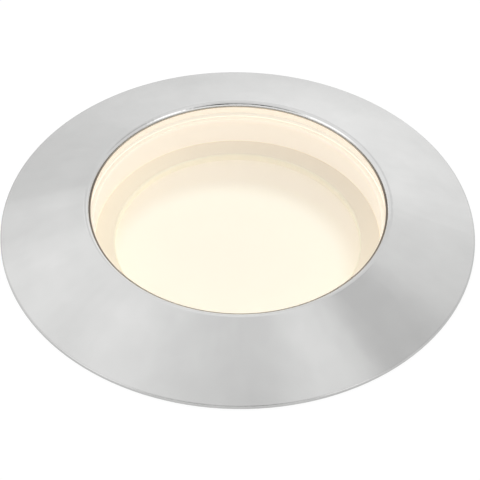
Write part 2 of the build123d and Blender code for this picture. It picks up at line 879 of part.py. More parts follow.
def make_gland_seal():
    """The rubber sleeve that grips the supply cable."""
    top = gland_stub_bottom + gland_seat_depth
    return ring(gland_stub_bore - slip, cable_radius, gland_seal_bottom, top)


def make_gland_cap():
    """The ribbed cap that squeezes the sleeve."""
    body = turned([
        (gland_cap_mouth_radius, gland_cap_bottom),
        (gland_cap_radius - gland_cap_chamfer, gland_cap_bottom),
        (gland_cap_radius, gland_cap_bottom + gland_cap_chamfer),
        (gland_cap_radius, gland_cap_top),
        (gland_stub_radius + slip, gland_cap_top),
        (gland_stub_radius + slip, gland_seal_bottom),
        (gland_cap_mouth_radius, gland_seal_bottom),
    ])
    groove_length = gland_cap_top - gland_cap_bottom + overrun + overrun
    groove = Pos(0, 0, gland_cap_bottom - overrun) * extrude(Circle(gland_rib_radius), groove_length)
    groove_circle = gland_cap_radius + gland_rib_radius / 2
    for index in range(gland_rib_count):
        body -= around(groove_circle, 360.0 * index / gland_rib_count, groove)
    return body


# Spring clips, drawn on the +X side

def bracket_lip_end():
    """How far out the lip of the bracket reaches over the arm."""
    return pivot_x - bracket_lip_setback


def bracket_lip_bottom():
    """Height of the underside of the lip, just clear of the top of the arm at rest."""
    tilt = math.radians(arm_rest_angle)
    above_pin = (arm_web_top + bracket_lip_gap) / math.cos(tilt)
    return pivot_z + above_pin - bracket_lip_setback * math.tan(tilt)


def slab(low, high):
    """A box between two opposite corners."""
    size = [top - bottom for bottom, top in zip(low, high)]
    middle = [(top + bottom) / 2 for bottom, top in zip(low, high)]
    return Pos(*middle) * Box(*size)


def across_pivot(radius, half_width):
    """A round bar along the axis of the pin."""
    return Pos(pivot_x, 0, pivot_z) * Rot(90, 0, 0) * Cylinder(radius, half_width + half_width)


def make_clip_bracket():
    """The bent steel bracket: back plate, two ears round the pin and a lip that stops the arm."""
    lip_bottom = bracket_lip_bottom()
    plate_top = lip_bottom + bracket_thickness
    ear_inside = bracket_half_width - bracket_thickness
    past_ear = bracket_ear_radius + overrun
    body = slab((clip_flat_x, -bracket_half_width, bracket_bottom),
                (bracket_plate_x, bracket_half_width, plate_top))
    ears = slab((clip_flat_x, -bracket_half_width, pivot_z - bracket_ear_radius),
                (pivot_x, bracket_half_width, pivot_z + bracket_ear_radius))
    ears += across_pivot(bracket_ear_radius, bracket_half_width)
    between = slab((bracket_plate_x, -ear_inside, pivot_z - past_ear),
                   (pivot_x + past_ear, ear_inside, pivot_z + past_ear))
    body += ears - between
    body += slab((clip_flat_x, -ear_inside, lip_bottom), (bracket_lip_end(), ear_inside, plate_top))
    body -= across_pivot(clip_pin_radius, bracket_half_width + overrun)
    for side in (1, -1):
        mouth = (bracket_plate_x + overrun, side * clip_screw_spread, clip_screw_z)
        hole = Plane(origin=mouth, z_dir=(-1, 0, 0))
        body -= hole * extrude(Circle(screw_clearance_radius), bracket_thickness + overrun + overrun)
    return body


def make_clip_pin():
    """The pin of a clip, with a head outside each ear."""
    body = across_pivot(clip_pin_radius, bracket_half_width)
    for side in (1, -1):
        face = Plane(origin=(pivot_x, side * bracket_half_width, pivot_z), z_dir=(0, side, 0))
        body += face * extrude(Circle(clip_pin_head_radius), clip_pin_head_height)
    return body


def make_clip_screws():
    """The four screws of the two brackets."""
    screws = []
    for side in (1, -1):
        seat = Plane(origin=(bracket_plate_x, side * clip_screw_spread, clip_screw_z), z_dir=(-1, 0, 0))
        for turn in clip_turns.values():
            screws.append(Rot(0, 0, turn) * (seat * screw(clip_screw_length)))
    return Compound(children=screws)


def on_arm(shape):
    """Move a shape from the arm's own frame to the arm's place at rest."""
    return Pos(pivot_x, 0, pivot_z) * Rot(0, -arm_rest_angle, 0) * shape


def make_arm_web():
    """The flat of the arm, drawn in towards a rounded tip, with a stiffening rib below."""
    outline = make_face(Polyline(
        (arm_web_start, -arm_half_width),
        (arm_cheek_end, -arm_half_width),
        (arm_reach, -arm_tip_half_width),
        (arm_reach, arm_tip_half_width),
        (arm_cheek_end, arm_half_width),
        (arm_web_start, arm_half_width),
        close=True,
    ))
    tip_corners = [corner for corner in outline.vertices() if corner.X > arm_reach - edge_match]
    web = extrude(fillet(tip_corners, arm_tip_round), arm_thickness)
    web = Pos(0, 0, arm_web_underside) * web
    rib_length = arm_rib_end - arm_rib_start
    rib = Pos((arm_rib_start + arm_rib_end) / 2, 0, 0) * Rot(0, 90, 0) * Cylinder(arm_rib_radius, rib_length)
    rib += Pos(arm_rib_start, 0, 0) * Sphere(arm_rib_radius)
    rib += Pos(arm_rib_end, 0, 0) * Sphere(arm_rib_radius)
    rib = Pos(0, 0, arm_web_underside) * rib
    above = slab((arm_web_start, -arm_half_width, arm_web_underside + arm_thickness / 2),
                 (arm_reach, arm_half_width, arm_web_top + arm_rib_radius))
    return web + (rib - above)


def make_arm_cheeks():
    """The two cheeks that run from the flat of the arm down round the pin."""
    heel = math.radians(arm_cheek_heel_angle)
    toe = math.radians(arm_cheek_toe_angle)
    outline = make_face(Polyline(
        (arm_web_start, 0, arm_web_top),
        (arm_cheek_end, 0, arm_web_top),
        (arm_cheek_end, 0, arm_web_underside),
        (arm_cheek_radius * math.cos(toe), 0, arm_cheek_radius * math.sin(toe)),
        (arm_cheek_radius * math.cos(heel), 0, arm_cheek_radius * math.sin(heel)),
        close=True,
    ))
    cheek = extrude(outline, arm_cheek_thickness, dir=(0, 1, 0))
    eye = Plane(origin=(0, 0, 0), z_dir=(0, 1, 0)) * extrude(Circle(arm_cheek_radius), arm_cheek_thickness)
    cheek += eye
    return [Pos(0, arm_half_width - arm_cheek_thickness, 0) * cheek, Pos(0, -arm_half_width, 0) * cheek]


def make_clip_arm():
    """The stamped arm: flat, rib, two cheeks with pin holes and a hole for the pad."""
    body = make_arm_web()
    for cheek in make_arm_cheeks():
        body += cheek
    pin_hole_length = arm_half_width + arm_half_width + overrun
    body -= Rot(90, 0, 0) * Cylinder(clip_pin_radius + pin_play, pin_hole_length)
    stem_length = arm_thickness + overrun + overrun
    stem = Pos(pad_middle, 0, arm_web_underside) * Cylinder(pad_stem_radius, stem_length)
    return on_arm(body - stem)


def make_clip_pad():
    """The rubber pad on the arm, with a stem and a button below that hold it."""
    block = slab((pad_start, -pad_half_width, arm_web_top),
                 (pad_end, pad_half_width, arm_web_top + pad_thickness))
    crown = arm_web_top + pad_thickness - edge_match
    top_edges = [edge for edge in block.edges() if edge.center().Z > crown]
    block = fillet(top_edges, pad_round)
    stem = Pos(pad_middle, 0, arm_web_underside) * extrude(Circle(pad_stem_radius), arm_thickness)
    button_low = arm_web_underside - pad_button_height
    button = Pos(pad_middle, 0, button_low) * extrude(Circle(pad_button_radius), pad_button_height)
    return on_arm(block + stem + button)


def spring_stations():
    """Points and directions along the coil, a quarter turn or so apart, with level ends."""
    full = 360.0 * spring_full_turns + 90.0 + arm_rest_angle
    steps = round(full / 90.0)
    turn = math.radians(full / steps)
    axial = (spring_half_length + spring_half_length) / (steps - 1)
    stations = []
    for index in range(steps + 1):
        angle = turn * index - math.pi / 2
        if index == 0:
            y, climb = spring_half_length, 0.0
        elif index == steps:
            y, climb = -spring_half_length, 0.0
        else:
            y, climb = spring_half_length - axial * (index - 1 / 2), axial / (spring_mean_radius * turn)
        x = pivot_x + spring_mean_radius * math.cos(angle)
        z = pivot_z + spring_mean_radius * math.sin(angle)
        direction = Vector(-math.sin(angle), -climb, math.cos(angle)).normalized()
        stations.append((Vector(x, y, z), direction))
    return stations


def biarc(start, start_direction, end, end_direction):
    """Two arcs that leave one point and reach another in the given directions."""
    span = end - start
    both = start_direction + end_direction
    bend = 1 - start_direction.dot(end_direction)
    along = span.dot(both)
    reach = (math.sqrt(along * along + 2 * bend * span.dot(span)) - along) / (2 * bend)
    joint = (start + start_direction * reach + end - end_direction * reach) * (1 / 2)
    first = Edge.make_tangent_arc(start, start_direction, joint)
    second = Edge.make_tangent_arc(joint, first.tangent_at(1), end)
    return [first, second]


def make_spring_path():
    """The centreline of a clip spring, from the back plate round the pin to the underside of the arm."""
    stations = spring_stations()
    first_point, first_direction = stations[0]
    last_point, last_direction = stations[-1]
    seat = Vector(bracket_plate_x, first_point.Y, first_point.Z)
    leg_length = arm_web_underside - spring_seat_gap
    edges = [Edge.make_line(seat, first_point)]
    for (start, start_direction), (end, end_direction) in zip(stations, stations[1:]):
        edges += biarc(start, start_direction, end, end_direction)
    edges.append(Edge.make_line(last_point, last_point + last_direction * leg_length))
    return Wire(edges)


def report_spring(path, solid):
    """Print the least gap of the spring to itself and how full its swept tube is."""
    samples = 1200
    length = path.length
    points = [path.position_at(index / samples) for index in range(samples + 1)]
    skip = math.ceil(samples * math.pi * spring_mean_radius / length)
    least = length
    for index, point in enumerate(points):
        for other in points[index + skip:]:
            least = min(least, (point - other).length)
    gap = least - spring_wire_diameter
    expected = math.pi * (spring_wire_diameter / 2) ** 2 * length
    print(f"clip spring: least gap to itself {gap:.3f} mm, volume share {solid.volume / expected:.4f}")


def make_clip_spring():
    """The coiled spring of a clip, swept as one tube."""
    path = make_spring_path()
    section = Plane(origin=path.position_at(0), z_dir=path.tangent_at(0)) * Circle(spring_wire_diameter / 2)
    solid = sweep(section, path=path)
    report_spring(path, solid)
    return solid


def main():
    """Make every piece and write it to its own file."""
    os.makedirs("parts", exist_ok=True)
    pieces = {
        "bezel": make_bezel(),
        "flange_seal": make_flange_seal(),
        "lens": make_lens(),
        "lens_seal": make_lens_seal(),
        "lens_gasket": make_lens_gasket(),
        "light_chamber": make_light_chamber(),
        "diffuser_ring": make_diffuser_ring(),
        "diffuser": make_diffuser(),
        "reflector": make_reflector(),
        "thermal_pad": make_thermal_pad(),
        "led_board": make_led_board(),
        "led_emitters": make_led_emitters(),
        "led_board_screws": make_led_board_screws(),
        "lamp_housing": make_lamp_housing(),
        "clamp_screws": make_clamp_screws(),
        "can_gasket": make_can_gasket(),
        "driver_can": make_driver_can(),
        "driver_board": make_driver_board(),
        "driver_board_screws": make_driver_board_screws(),
        "input_capacitor": make_input_capacitor(),
        "inductor_core": make_inductor_core(),
        "inductor_winding": make_inductor_winding(),
        "bridge_rectifier": make_bridge_rectifier(),
        "driver_chip": make_driver_chip(),
        "terminal_block": make_terminal_block(),
        "terminal_screws": make_terminal_screws(),
        "lead_positive": make_lead(1),
        "lead_negative": make_lead(-1),
        "solder_joints": make_solder_joints(),
        "cover_gasket": make_cover_gasket(),
        "rear_cover": make_rear_cover(),
        "cover_screws": make_cover_screws(),
        "gland_body": make_gland_body(),
        "gland_ring": make_gland_ring(),
        "gland_locknut": make_gland_locknut(),
        "gland_seal": make_gland_seal(),
        "gland_cap": make_gland_cap(),
        "clip_screws": make_clip_screws(),
    }
    clip_pieces = {
        "clip_bracket": make_clip_bracket(),
        "clip_pin": make_clip_pin(),
        "clip_spring": make_clip_spring(),
        "clip_arm": make_clip_arm(),
        "clip_pad": make_clip_pad(),
    }
    for side, turn in clip_turns.items():
        for name, shape in clip_pieces.items():
            pieces[name + "_" + side] = Rot(0, 0, turn) * shape
    for name, shape in pieces.items():
        save(name, shape)


main()
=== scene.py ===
# Looks of the recessed deck light: finishes, glass, springs, the deck it sits in, light and camera.
# Metres and degrees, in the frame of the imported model: the origin is the centre of the deck surface, +Z up.

import logging
import math
from dataclasses import dataclass
from enum import Enum
from typing import Any, Optional, Union

import bpy
from mathutils import Euler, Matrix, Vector


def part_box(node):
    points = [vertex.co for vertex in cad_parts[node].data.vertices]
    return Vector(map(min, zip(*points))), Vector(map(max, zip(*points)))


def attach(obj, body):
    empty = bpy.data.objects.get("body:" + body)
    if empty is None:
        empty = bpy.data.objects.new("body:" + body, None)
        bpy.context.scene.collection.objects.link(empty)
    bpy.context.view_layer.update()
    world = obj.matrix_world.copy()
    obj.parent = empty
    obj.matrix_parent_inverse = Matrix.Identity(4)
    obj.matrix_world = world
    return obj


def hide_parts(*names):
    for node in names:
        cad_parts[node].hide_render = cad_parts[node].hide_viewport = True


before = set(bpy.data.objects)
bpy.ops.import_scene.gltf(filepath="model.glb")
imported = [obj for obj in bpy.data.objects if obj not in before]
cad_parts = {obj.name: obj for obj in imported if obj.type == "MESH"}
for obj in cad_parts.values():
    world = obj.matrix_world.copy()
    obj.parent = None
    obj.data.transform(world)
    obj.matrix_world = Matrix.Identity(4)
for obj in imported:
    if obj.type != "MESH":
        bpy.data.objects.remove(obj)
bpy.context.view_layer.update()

log = logging.getLogger("deck_light")

Colour = tuple[float, float, float]
Number = Union[float, "Signal"]
Point = tuple[float, float, float]
Pair = tuple[float, float]

BLACK: Colour = (0.0, 0.0, 0.0)
WHITE: Colour = (1.0, 1.0, 1.0)
FULL_TURN = 360.0
QUARTER_TURN = 90.0
SHARP_ANGLE = 30.0


class Grain(Enum):
    """Which way the fine lines of a metal run."""

    ROUND = "round"
    ALONG_X = "along_x"
    NONE = "none"


class Side(Enum):
    """Which side of the body a clip is on, with the sign of X there."""

    RIGHT = 1.0
    LEFT = -1.0


@dataclass(frozen=True)
class Noise:
    """Soft random variation: the size of its features, its finer layers and their strength."""

    size: float
    detail: float = 3.0
    roughness: float = 0.6


# Shader maths

class Signal:
    """A number that varies over a surface, written as an ordinary expression."""

    def __init__(self, tree: "MaterialTree", socket: bpy.types.NodeSocket) -> None:
        """Wrap one output socket of a tree."""
        self.tree = tree
        self.socket = socket

    def __add__(self, other: Number) -> "Signal":
        """Sum of two signals."""
        return self.tree.maths("ADD", self, other)

    __radd__ = __add__

    def __sub__(self, other: Number) -> "Signal":
        """Difference of two signals."""
        return self.tree.maths("SUBTRACT", self, other)

    def __rsub__(self, other: Number) -> "Signal":
        """Difference of a number and a signal."""
        return self.tree.maths("SUBTRACT", other, self)

    def __mul__(self, other: Number) -> "Signal":
        """Product of two signals."""
        return self.tree.maths("MULTIPLY", self, other)

    __rmul__ = __mul__

    def __truediv__(self, other: Number) -> "Signal":
        """Quotient of two signals."""
        return self.tree.maths("DIVIDE", self, other)

    def __rtruediv__(self, other: Number) -> "Signal":
        """Quotient of a number and a signal."""
        return self.tree.maths("DIVIDE", other, self)

    def __pow__(self, other: Number) -> "Signal":
        """Power of a signal."""
        return self.tree.maths("POWER", self, other)

    def __abs__(self) -> "Signal":
        """Size of a signal without its sign."""
        return self.tree.maths("ABSOLUTE", self)

    def highest(self, other: Number) -> "Signal":
        """The larger of two signals."""
        return self.tree.maths("MAXIMUM", self, other)

    def swing(self, depth: float) -> "Signal":
        """How far a noise lies from its middle of one half, times a depth."""
        return (self - 0.5) * depth

    def ease(self, low: float, high: float, start: float = 0.0, end: float = 1.0) -> "Signal":
        """A soft step of the signal.

        Args:
            low: Value of the signal where the step begins.
            high: Value of the signal where the step ends.
            start: Result up to low.
            end: Result from high on.

        Returns:
            The stepped signal.
        """
        return self.tree.node(
            "ShaderNodeMapRange",
            {"interpolation_type": "SMOOTHSTEP", "clamp": True},
            {"Value": self, "From Min": low, "From Max": high, "To Min": start, "To Max": end},
        )


class MaterialTree:
    """Builds the nodes of one material or world."""

    def __init__(self, node_tree: bpy.types.NodeTree) -> None:
        """Start from an empty node tree."""
        self.node_tree = node_tree
        node_tree.nodes.clear()

    def node(
        self,
        kind: str,
        settings: Optional[dict[str, Any]] = None,
        inputs: Optional[dict[Union[str, int], Any]] = None,
        output: Union[str, int] = 0,
    ) -> Signal:
        """Add one node of any type.

        Args:
            kind: Blender's name of the node type.
            settings: Properties of the node.
            inputs: Values or links of its sockets, by name or index.
            output: Name or index of the output that is wanted.

        Returns:
            The wanted output as a signal, or the input of a node that ends the tree.
        """
        made = self.node_tree.nodes.new(kind)
        for name, value in (settings or {}).items():
            setattr(made, name, value)
        for name, value in (inputs or {}).items():
            socket = made.inputs[name]
            if isinstance(value, Signal):
                self.node_tree.links.new(value.socket, socket)
            elif socket.type == "RGBA":
                socket.default_value = (*value, 1.0)
            else:
                socket.default_value = value
        return Signal(self, (made.outputs or made.inputs)[output])

    def maths(self, operation: str, *values: Number) -> Signal:
        """A Math node on numbers or signals."""
        return self.node("ShaderNodeMath", {"operation": operation}, dict(enumerate(values)))

    def vector(self, operation: str, *values: Any, output: Union[str, int] = 0) -> Signal:
        """A Vector Math node on vectors or signals."""
        return self.node("ShaderNodeVectorMath", {"operation": operation}, dict(enumerate(values)), output)

    def position(self) -> Signal:
        """Position on the piece in its own frame, in metres."""
        return self.node("ShaderNodeTexCoord", output="Object")

    def parts(self, vector: Signal) -> tuple[Signal, Signal, Signal]:
        """The three components of a vector.

        Args:
            vector: The vector to take apart.

        Returns:
            Its x, y and z.
        """
        split = self.node("ShaderNodeSeparateXYZ", inputs={0: vector})
        outputs = split.socket.node.outputs
        return Signal(self, outputs[0]), Signal(self, outputs[1]), Signal(self, outputs[2])

    def joined(self, x: Number, y: Number, z: Number) -> Signal:
        """A vector from three numbers or signals."""
        return self.node("ShaderNodeCombineXYZ", inputs={0: x, 1: y, 2: z})

    def radius(self, x: Signal, y: Signal) -> Signal:
        """Distance from the axis of the light."""
        return (x * x + y * y) ** 0.5

    def noise(self, place: Signal, layers: Noise) -> Signal:
        """Soft random variation about one half.

        Args:
            place: Vector that the noise is read at.
            layers: Size of its features, in the units of place, and its finer layers.

        Returns:
            The variation, from about 0 to 1.
        """
        return self.node(
            "ShaderNodeTexNoise",
            {"noise_dimensions": "3D"},
            {
                "Vector": place, "Scale": 1.0 / layers.size, "Detail": layers.detail,
                "Roughness": layers.roughness,
            },
        )

    def cells(self, place: Signal, size: float, feature: str) -> Signal:
        """Random cells of one size: their distance fields."""
        inputs = {"Vector": place, "Scale": 1.0 / size}
        return self.node("ShaderNodeTexVoronoi", {"feature": feature}, inputs)

    def mixed(self, share: Number, first: Any, second: Any) -> Signal:
        """A colour between two colours.

        Args:
            share: Share of the second colour.
            first: The colour at a share of 0.
            second: The colour at a share of 1.

        Returns:
            The mixed colour.
        """
        return self.node(
            "ShaderNodeMix",
            {"data_type": "RGBA", "clamp_factor": True},
            {0: share, 6: first, 7: second},
            output=2,
        )

    def scaled(self, colour: Any, share: Number) -> Signal:
        """A colour made brighter or darker by a signal."""
        return self.vector("MULTIPLY", colour, self.joined(share, share, share))

    def blended(self, share: Signal, first: Signal, second: Signal) -> Signal:
        """A shader between two shaders."""
        return self.node("ShaderNodeMixShader", inputs={0: share, 1: first, 2: second})

    def bump(self, height: Signal, depth: float) -> Signal:
        """Normals of a small relief, whose height from 0 to 1 stands for a depth in metres."""
        return self.node("ShaderNodeBump", inputs={"Height": height, "Distance": depth, "Strength": 1.0})

    def principled(self, **inputs: Any) -> Signal:
        """The surface shader, with sockets named with underscores for spaces."""
        named = {name.replace("_", " "): value for name, value in inputs.items()}
        return self.node("ShaderNodeBsdfPrincipled", inputs=named)

    def ray(self, kind: str) -> Signal:
        """Whether the ray that meets the surface is of one kind."""
        return self.node("ShaderNodeLightPath", output=f"Is {kind} Ray")

    def output(self, shader: Signal, kind: str = "ShaderNodeOutputMaterial") -> None:
        """Connect the finished shader."""
        self.node(kind, inputs={"Surface": shader})


# Finishes

@dataclass(frozen=True)
class Finish:
    """The base of every finish: one material, made once."""

    name: str

    def paint(self, tree: MaterialTree) -> Signal:
        """Build the shader of this finish in an empty tree."""
        raise NotImplementedError

    def material(self) -> bpy.types.Material:
        """The material of this finish.

        Returns:
            The material, which is made at the first call.
        """
        name = "look_" + self.name
        if name in bpy.data.materials:
            return bpy.data.materials[name]
        made = bpy.data.materials.new(name)
        made.use_nodes = True
        tree = MaterialTree(made.node_tree)
        tree.output(self.paint(tree))
        return made


@dataclass(frozen=True)
class TurnedSteel(Finish):
    """Steel turned on a lathe: fine rings that draw each reflection out to a radial streak."""

    colour: Colour = (0.60, 0.60, 0.595)
    roughness: float = 0.24
    anisotropy: float = 0.90
    grain_turn: float = 0.25
    rings: Noise = Noise(0.00012)
    ring_depth: float = 0.0000016
    ring_rough: float = 0.06
    fine: Noise = Noise(0.00012, 2.0, 0.5)
    fine_rough: float = 0.03
    cloud: Noise = Noise(0.0045, 3.0, 0.5)
    cloud_depth: float = 0.16
    streaks: Noise = Noise(0.05, 2.0, 0.5)
    streak_stretch: float = 12.0
    streak_depth: float = 0.04
    lip_span: Pair = (0.0145, 0.0147)
    lip_roughness: float = 0.06
    edge_span: Pair = (0.02236, 0.02242)
    edge_shade: float = 0.12
    outward_span: Pair = (0.0165, 0.0225)
    outward_shade: float = 0.03

    def paint(self, tree: MaterialTree) -> Signal:
        """Build the turned cone and its polished lip.

        Args:
            tree: The material's tree.

        Returns:
            The shader.
        """
        place = tree.position()
        x, y, _ = tree.parts(place)
        radius = tree.radius(x, y)
        rings = tree.noise(tree.joined(radius, 0.0, 0.0), self.rings)
        fine = tree.noise(place, self.fine)
        cloud = tree.noise(place, self.cloud)
        around = tree.joined(x / radius, y / radius, radius * self.streak_stretch)
        streaks = tree.noise(around, self.streaks)
        tone = 1.0 + cloud.swing(self.cloud_depth) + streaks.swing(self.streak_depth)
        edge = radius.ease(*self.edge_span) * self.edge_shade
        outward = radius.ease(*self.outward_span) * self.outward_shade
        base = tree.scaled(self.colour, tone - edge - outward)
        turned = tree.principled(
            Base_Color=base,
            Metallic=1.0,
            Roughness=self.roughness + rings.swing(self.ring_rough) + fine.swing(self.fine_rough),
            Anisotropic=self.anisotropy,
            Anisotropic_Rotation=self.grain_turn,
            Normal=tree.bump(rings, self.ring_depth),
        )
        polished = tree.principled(Base_Color=base, Metallic=1.0, Roughness=self.lip_roughness)
        lip = radius.ease(*self.lip_span, 1.0, 0.0)
        return tree.blended(lip, turned, polished)


@dataclass(frozen=True)
class WorkedMetal(Finish):
    """Stamped, drawn or machined metal with a grain, faint mottling and handling marks."""

    colour: Colour = (0.60, 0.60, 0.60)
    roughness: float = 0.28
    direction: Grain = Grain.NONE
    along: float = 0.04
    lines: Noise = Noise(0.00015)
    line_depth: float = 0.000003
    line_rough: float = 0.12
    mottle: Noise = Noise(0.0025, 3.0, 0.5)
    mottle_tone: float = 0.12
    mottle_rough: float = 0.08
    marks: Noise = Noise(0.00075, 4.0, 0.7)
    mark_span: Pair = (0.58, 0.72)
    mark_tone: float = 0.10
    mark_rough: float = 0.08

    def stretched(self, tree: MaterialTree, place: Signal) -> Signal:
        """Place at which the lines are read.

        Args:
            tree: The material's tree.
            place: Position on the piece.

        Returns:
            The position, squeezed along the lines so that they come out long.
        """
        x, y, z = tree.parts(place)
        if self.direction is Grain.ROUND:
            return tree.joined(tree.radius(x, y), z * self.along, 0.0)
        if self.direction is Grain.ALONG_X:
            return tree.joined(x * self.along, y, z * self.along)
        return place

    def paint(self, tree: MaterialTree) -> Signal:
        """Build the worked metal.

        Args:
            tree: The material's tree.

        Returns:
            The shader.
        """
        place = tree.position()
        lines = tree.noise(self.stretched(tree, place), self.lines)
        mottle = tree.noise(place, self.mottle)
        marks = tree.noise(place, self.marks).ease(*self.mark_span)
        tone = 1.0 + mottle.swing(self.mottle_tone) - marks * self.mark_tone
        rough = self.roughness + lines.swing(self.line_rough) + mottle.swing(self.mottle_rough)
        return tree.principled(
            Base_Color=tree.scaled(self.colour, tone),
            Metallic=1.0,
            Roughness=rough + marks * self.mark_rough,
            Normal=tree.bump(lines, self.line_depth),
        )


@dataclass(frozen=True)
class CastMetal(Finish):
    """Die-cast metal, tumbled: a fine pebble skin with flow marks and dull patches."""

    colour: Colour = (0.60, 0.61, 0.62)
    roughness: float = 0.42
    pebble_size: float = 0.00028
    pebble_relief: float = 0.7
    relief_depth: float = 0.000012
    flow: Noise = Noise(0.004, 4.0, 0.55)
    flow_stretch: float = 0.35
    flow_rough: float = 0.22
    base_tone: float = 0.94
    flow_tone: float = 0.14
    pits: Noise = Noise(0.00056, 2.0, 0.7)
    pit_span: Pair = (0.66, 0.74)
    pit_tone: float = 0.25
    pit_rough: float = 0.15
    pit_relief: float = 0.6

    def paint(self, tree: MaterialTree) -> Signal:
        """Build the cast metal.

        Args:
            tree: The material's tree.

        Returns:
            The shader.
        """
        place = tree.position()
        x, y, z = tree.parts(place)
        pebbles = tree.cells(place, self.pebble_size, "SMOOTH_F1")
        flow = tree.noise(tree.joined(x, y, z * self.flow_stretch), self.flow)
        pits = tree.noise(place, self.pits).ease(*self.pit_span)
        tone = self.base_tone + flow * self.flow_tone - pits * self.pit_tone
        relief = pebbles * self.pebble_relief - pits * self.pit_relief
        return tree.principled(
            Base_Color=tree.scaled(self.colour, tone),
            Metallic=1.0,
            Roughness=self.roughness + flow.swing(self.flow_rough) + pits * self.pit_rough,
            Normal=tree.bump(relief, self.relief_depth),
        )


@dataclass(frozen=True)
class MouldedPlastic(Finish):
    """Moulded plastic with a spark-eroded grain, faint flow clouds and a little dust."""

    colour: Colour = (0.05, 0.05, 0.053)
    roughness: float = 0.48
    specular: float = 0.45
    grain: Noise = Noise(0.00022, 3.0, 0.65)
    grain_depth: float = 0.000014
    grain_rough: float = 0.16
    flow: Noise = Noise(0.005, 3.0, 0.5)
    flow_rough: float = 0.10
    flow_tone: float = 0.24
    dust: Noise = Noise(0.0011, 5.0, 0.75)
    dust_span: Pair = (0.52, 0.78)
    dust_colour: Colour = (0.42, 0.41, 0.39)
    dust_share: float = 0.14
    dust_rough: float = 0.08

    def paint(self, tree: MaterialTree) -> Signal:
        """Build the moulded plastic.

        Args:
            tree: The material's tree.

        Returns:
            The shader.
        """
        place = tree.position()
        grain = tree.noise(place, self.grain)
        flow = tree.noise(place, self.flow)
        dust = tree.noise(place, self.dust).ease(*self.dust_span)
        clean = tree.scaled(self.colour, 1.0 + flow.swing(self.flow_tone))
        rough = self.roughness + grain.swing(self.grain_rough) + flow.swing(self.flow_rough)
        return tree.principled(
            Base_Color=tree.mixed(dust * self.dust_share, clean, self.dust_colour),
            Roughness=rough + dust * self.dust_rough,
            Specular_IOR_Level=self.specular,
            Normal=tree.bump(grain, self.grain_depth),
        )


@dataclass(frozen=True)
class Rubber(Finish):
    """Moulded rubber or silicone: matte, with a soft sheen, a bloom of dust and painted light that makes one
    side paler.
    """

    colour: Colour = (0.035, 0.035, 0.037)
    roughness: float = 0.72
    sheen: float = 0.15
    sheen_roughness: float = 0.5
    grain: Noise = Noise(0.00018)
    grain_depth: float = 0.000010
    grain_rough: float = 0.14
    bloom: Noise = Noise(0.0022, 4.0, 0.6)
    bloom_span: Pair = (0.42, 0.75)
    bloom_colour: Colour = (0.50, 0.49, 0.47)
    bloom_share: float = 0.10
    bloom_rough: float = 0.08
    # painted light: a paler colour laid on towards +Y, as if light fell on that side
    painted_light_colour: Colour = (0.50, 0.45, 0.37)
    painted_light_span: Pair = (0.002, 0.010)
    painted_light_share: float = 0.0

    def paint(self, tree: MaterialTree) -> Signal:
        """Build the rubber, paler towards +Y by its share of painted light.

        Args:
            tree: The material's tree.

        Returns:
            The shader.
        """
        place = tree.position()
        _, y, _ = tree.parts(place)
        grain = tree.noise(place, self.grain)
        bloom = tree.noise(place, self.bloom).ease(*self.bloom_span)
        dusted_colour = tree.mixed(bloom * self.bloom_share, self.colour, self.bloom_colour)
        # painted light: the share of the paler colour, rising towards +Y
        painted_light = y.ease(*self.painted_light_span) * self.painted_light_share
        return tree.principled(
            Base_Color=tree.mixed(painted_light, dusted_colour, self.painted_light_colour),
            Roughness=self.roughness + grain.swing(self.grain_rough) + bloom * self.bloom_rough,
            Sheen_Weight=self.sheen,
            Sheen_Roughness=self.sheen_roughness,
            Normal=tree.bump(grain, self.grain_depth),
        )


@dataclass(frozen=True)
class LitWhite(Finish):
    """White inside the light, warm with its glow, with a brighter middle and one side in soft shade."""

    colour: Colour = (0.78, 0.74, 0.66)
    roughness: float = 0.62
    dim: Colour = (0.33, 0.31, 0.29)
    bright: Colour = (0.39, 0.42, 0.39)
    glow_centre: Pair = (-0.0008, -0.0036)
    glow_span: Pair = (0.0100, 0.0128)
    shade: float = 0.0
    shade_bearing: float = 55.0
    shade_span: Pair = (-0.003, 0.018)
    top_glow: Colour = BLACK
    top_span: Pair = (0.00060, 0.00120)
    face_glow: Colour = BLACK
    face_span: Pair = (0.00118, 0.00119)
    skin: Noise = Noise(0.0004)
    skin_depth: float = 0.000004
    skin_rough: float = 0.12
    cloud: Noise = Noise(0.004, 2.0, 0.5)
    cloud_tone: float = 0.03

    @classmethod
    def even(cls, name: str, glow: Colour, **more: Any) -> "LitWhite":
        """The finish with the same glow in its middle and round it."""
        return cls(name, dim=glow, bright=glow, **more)

    def paint(self, tree: MaterialTree) -> Signal:
        """Build the lit white.

        Args:
            tree: The material's tree.

        Returns:
            The shader.
        """
        place = tree.position()
        x, y, z = tree.parts(place)
        middle = tree.radius(x - self.glow_centre[0], y - self.glow_centre[1])
        glow = middle.ease(*self.glow_span, 1.0, 0.0)
        bearing = math.radians(self.shade_bearing)
        across = x * math.cos(bearing) + y * math.sin(bearing)
        shade = 1.0 - across.ease(*self.shade_span) * self.shade
        emission = tree.mixed(glow, tree.scaled(self.dim, shade), self.bright)
        top = tree.scaled(self.top_glow, z.ease(*self.top_span))
        face = tree.scaled(self.face_glow, z.ease(*self.face_span))
        skin = tree.noise(place, self.skin)
        cloud = tree.noise(place, self.cloud)
        return tree.principled(
            Base_Color=tree.scaled(self.colour, 1.0 + cloud.swing(self.cloud_tone)),
            Roughness=self.roughness + skin.swing(self.skin_rough),
            Emission_Color=tree.vector("ADD", tree.vector("ADD", emission, top), face),
            Emission_Strength=1.0,
            Normal=tree.bump(skin, self.skin_depth),
        )


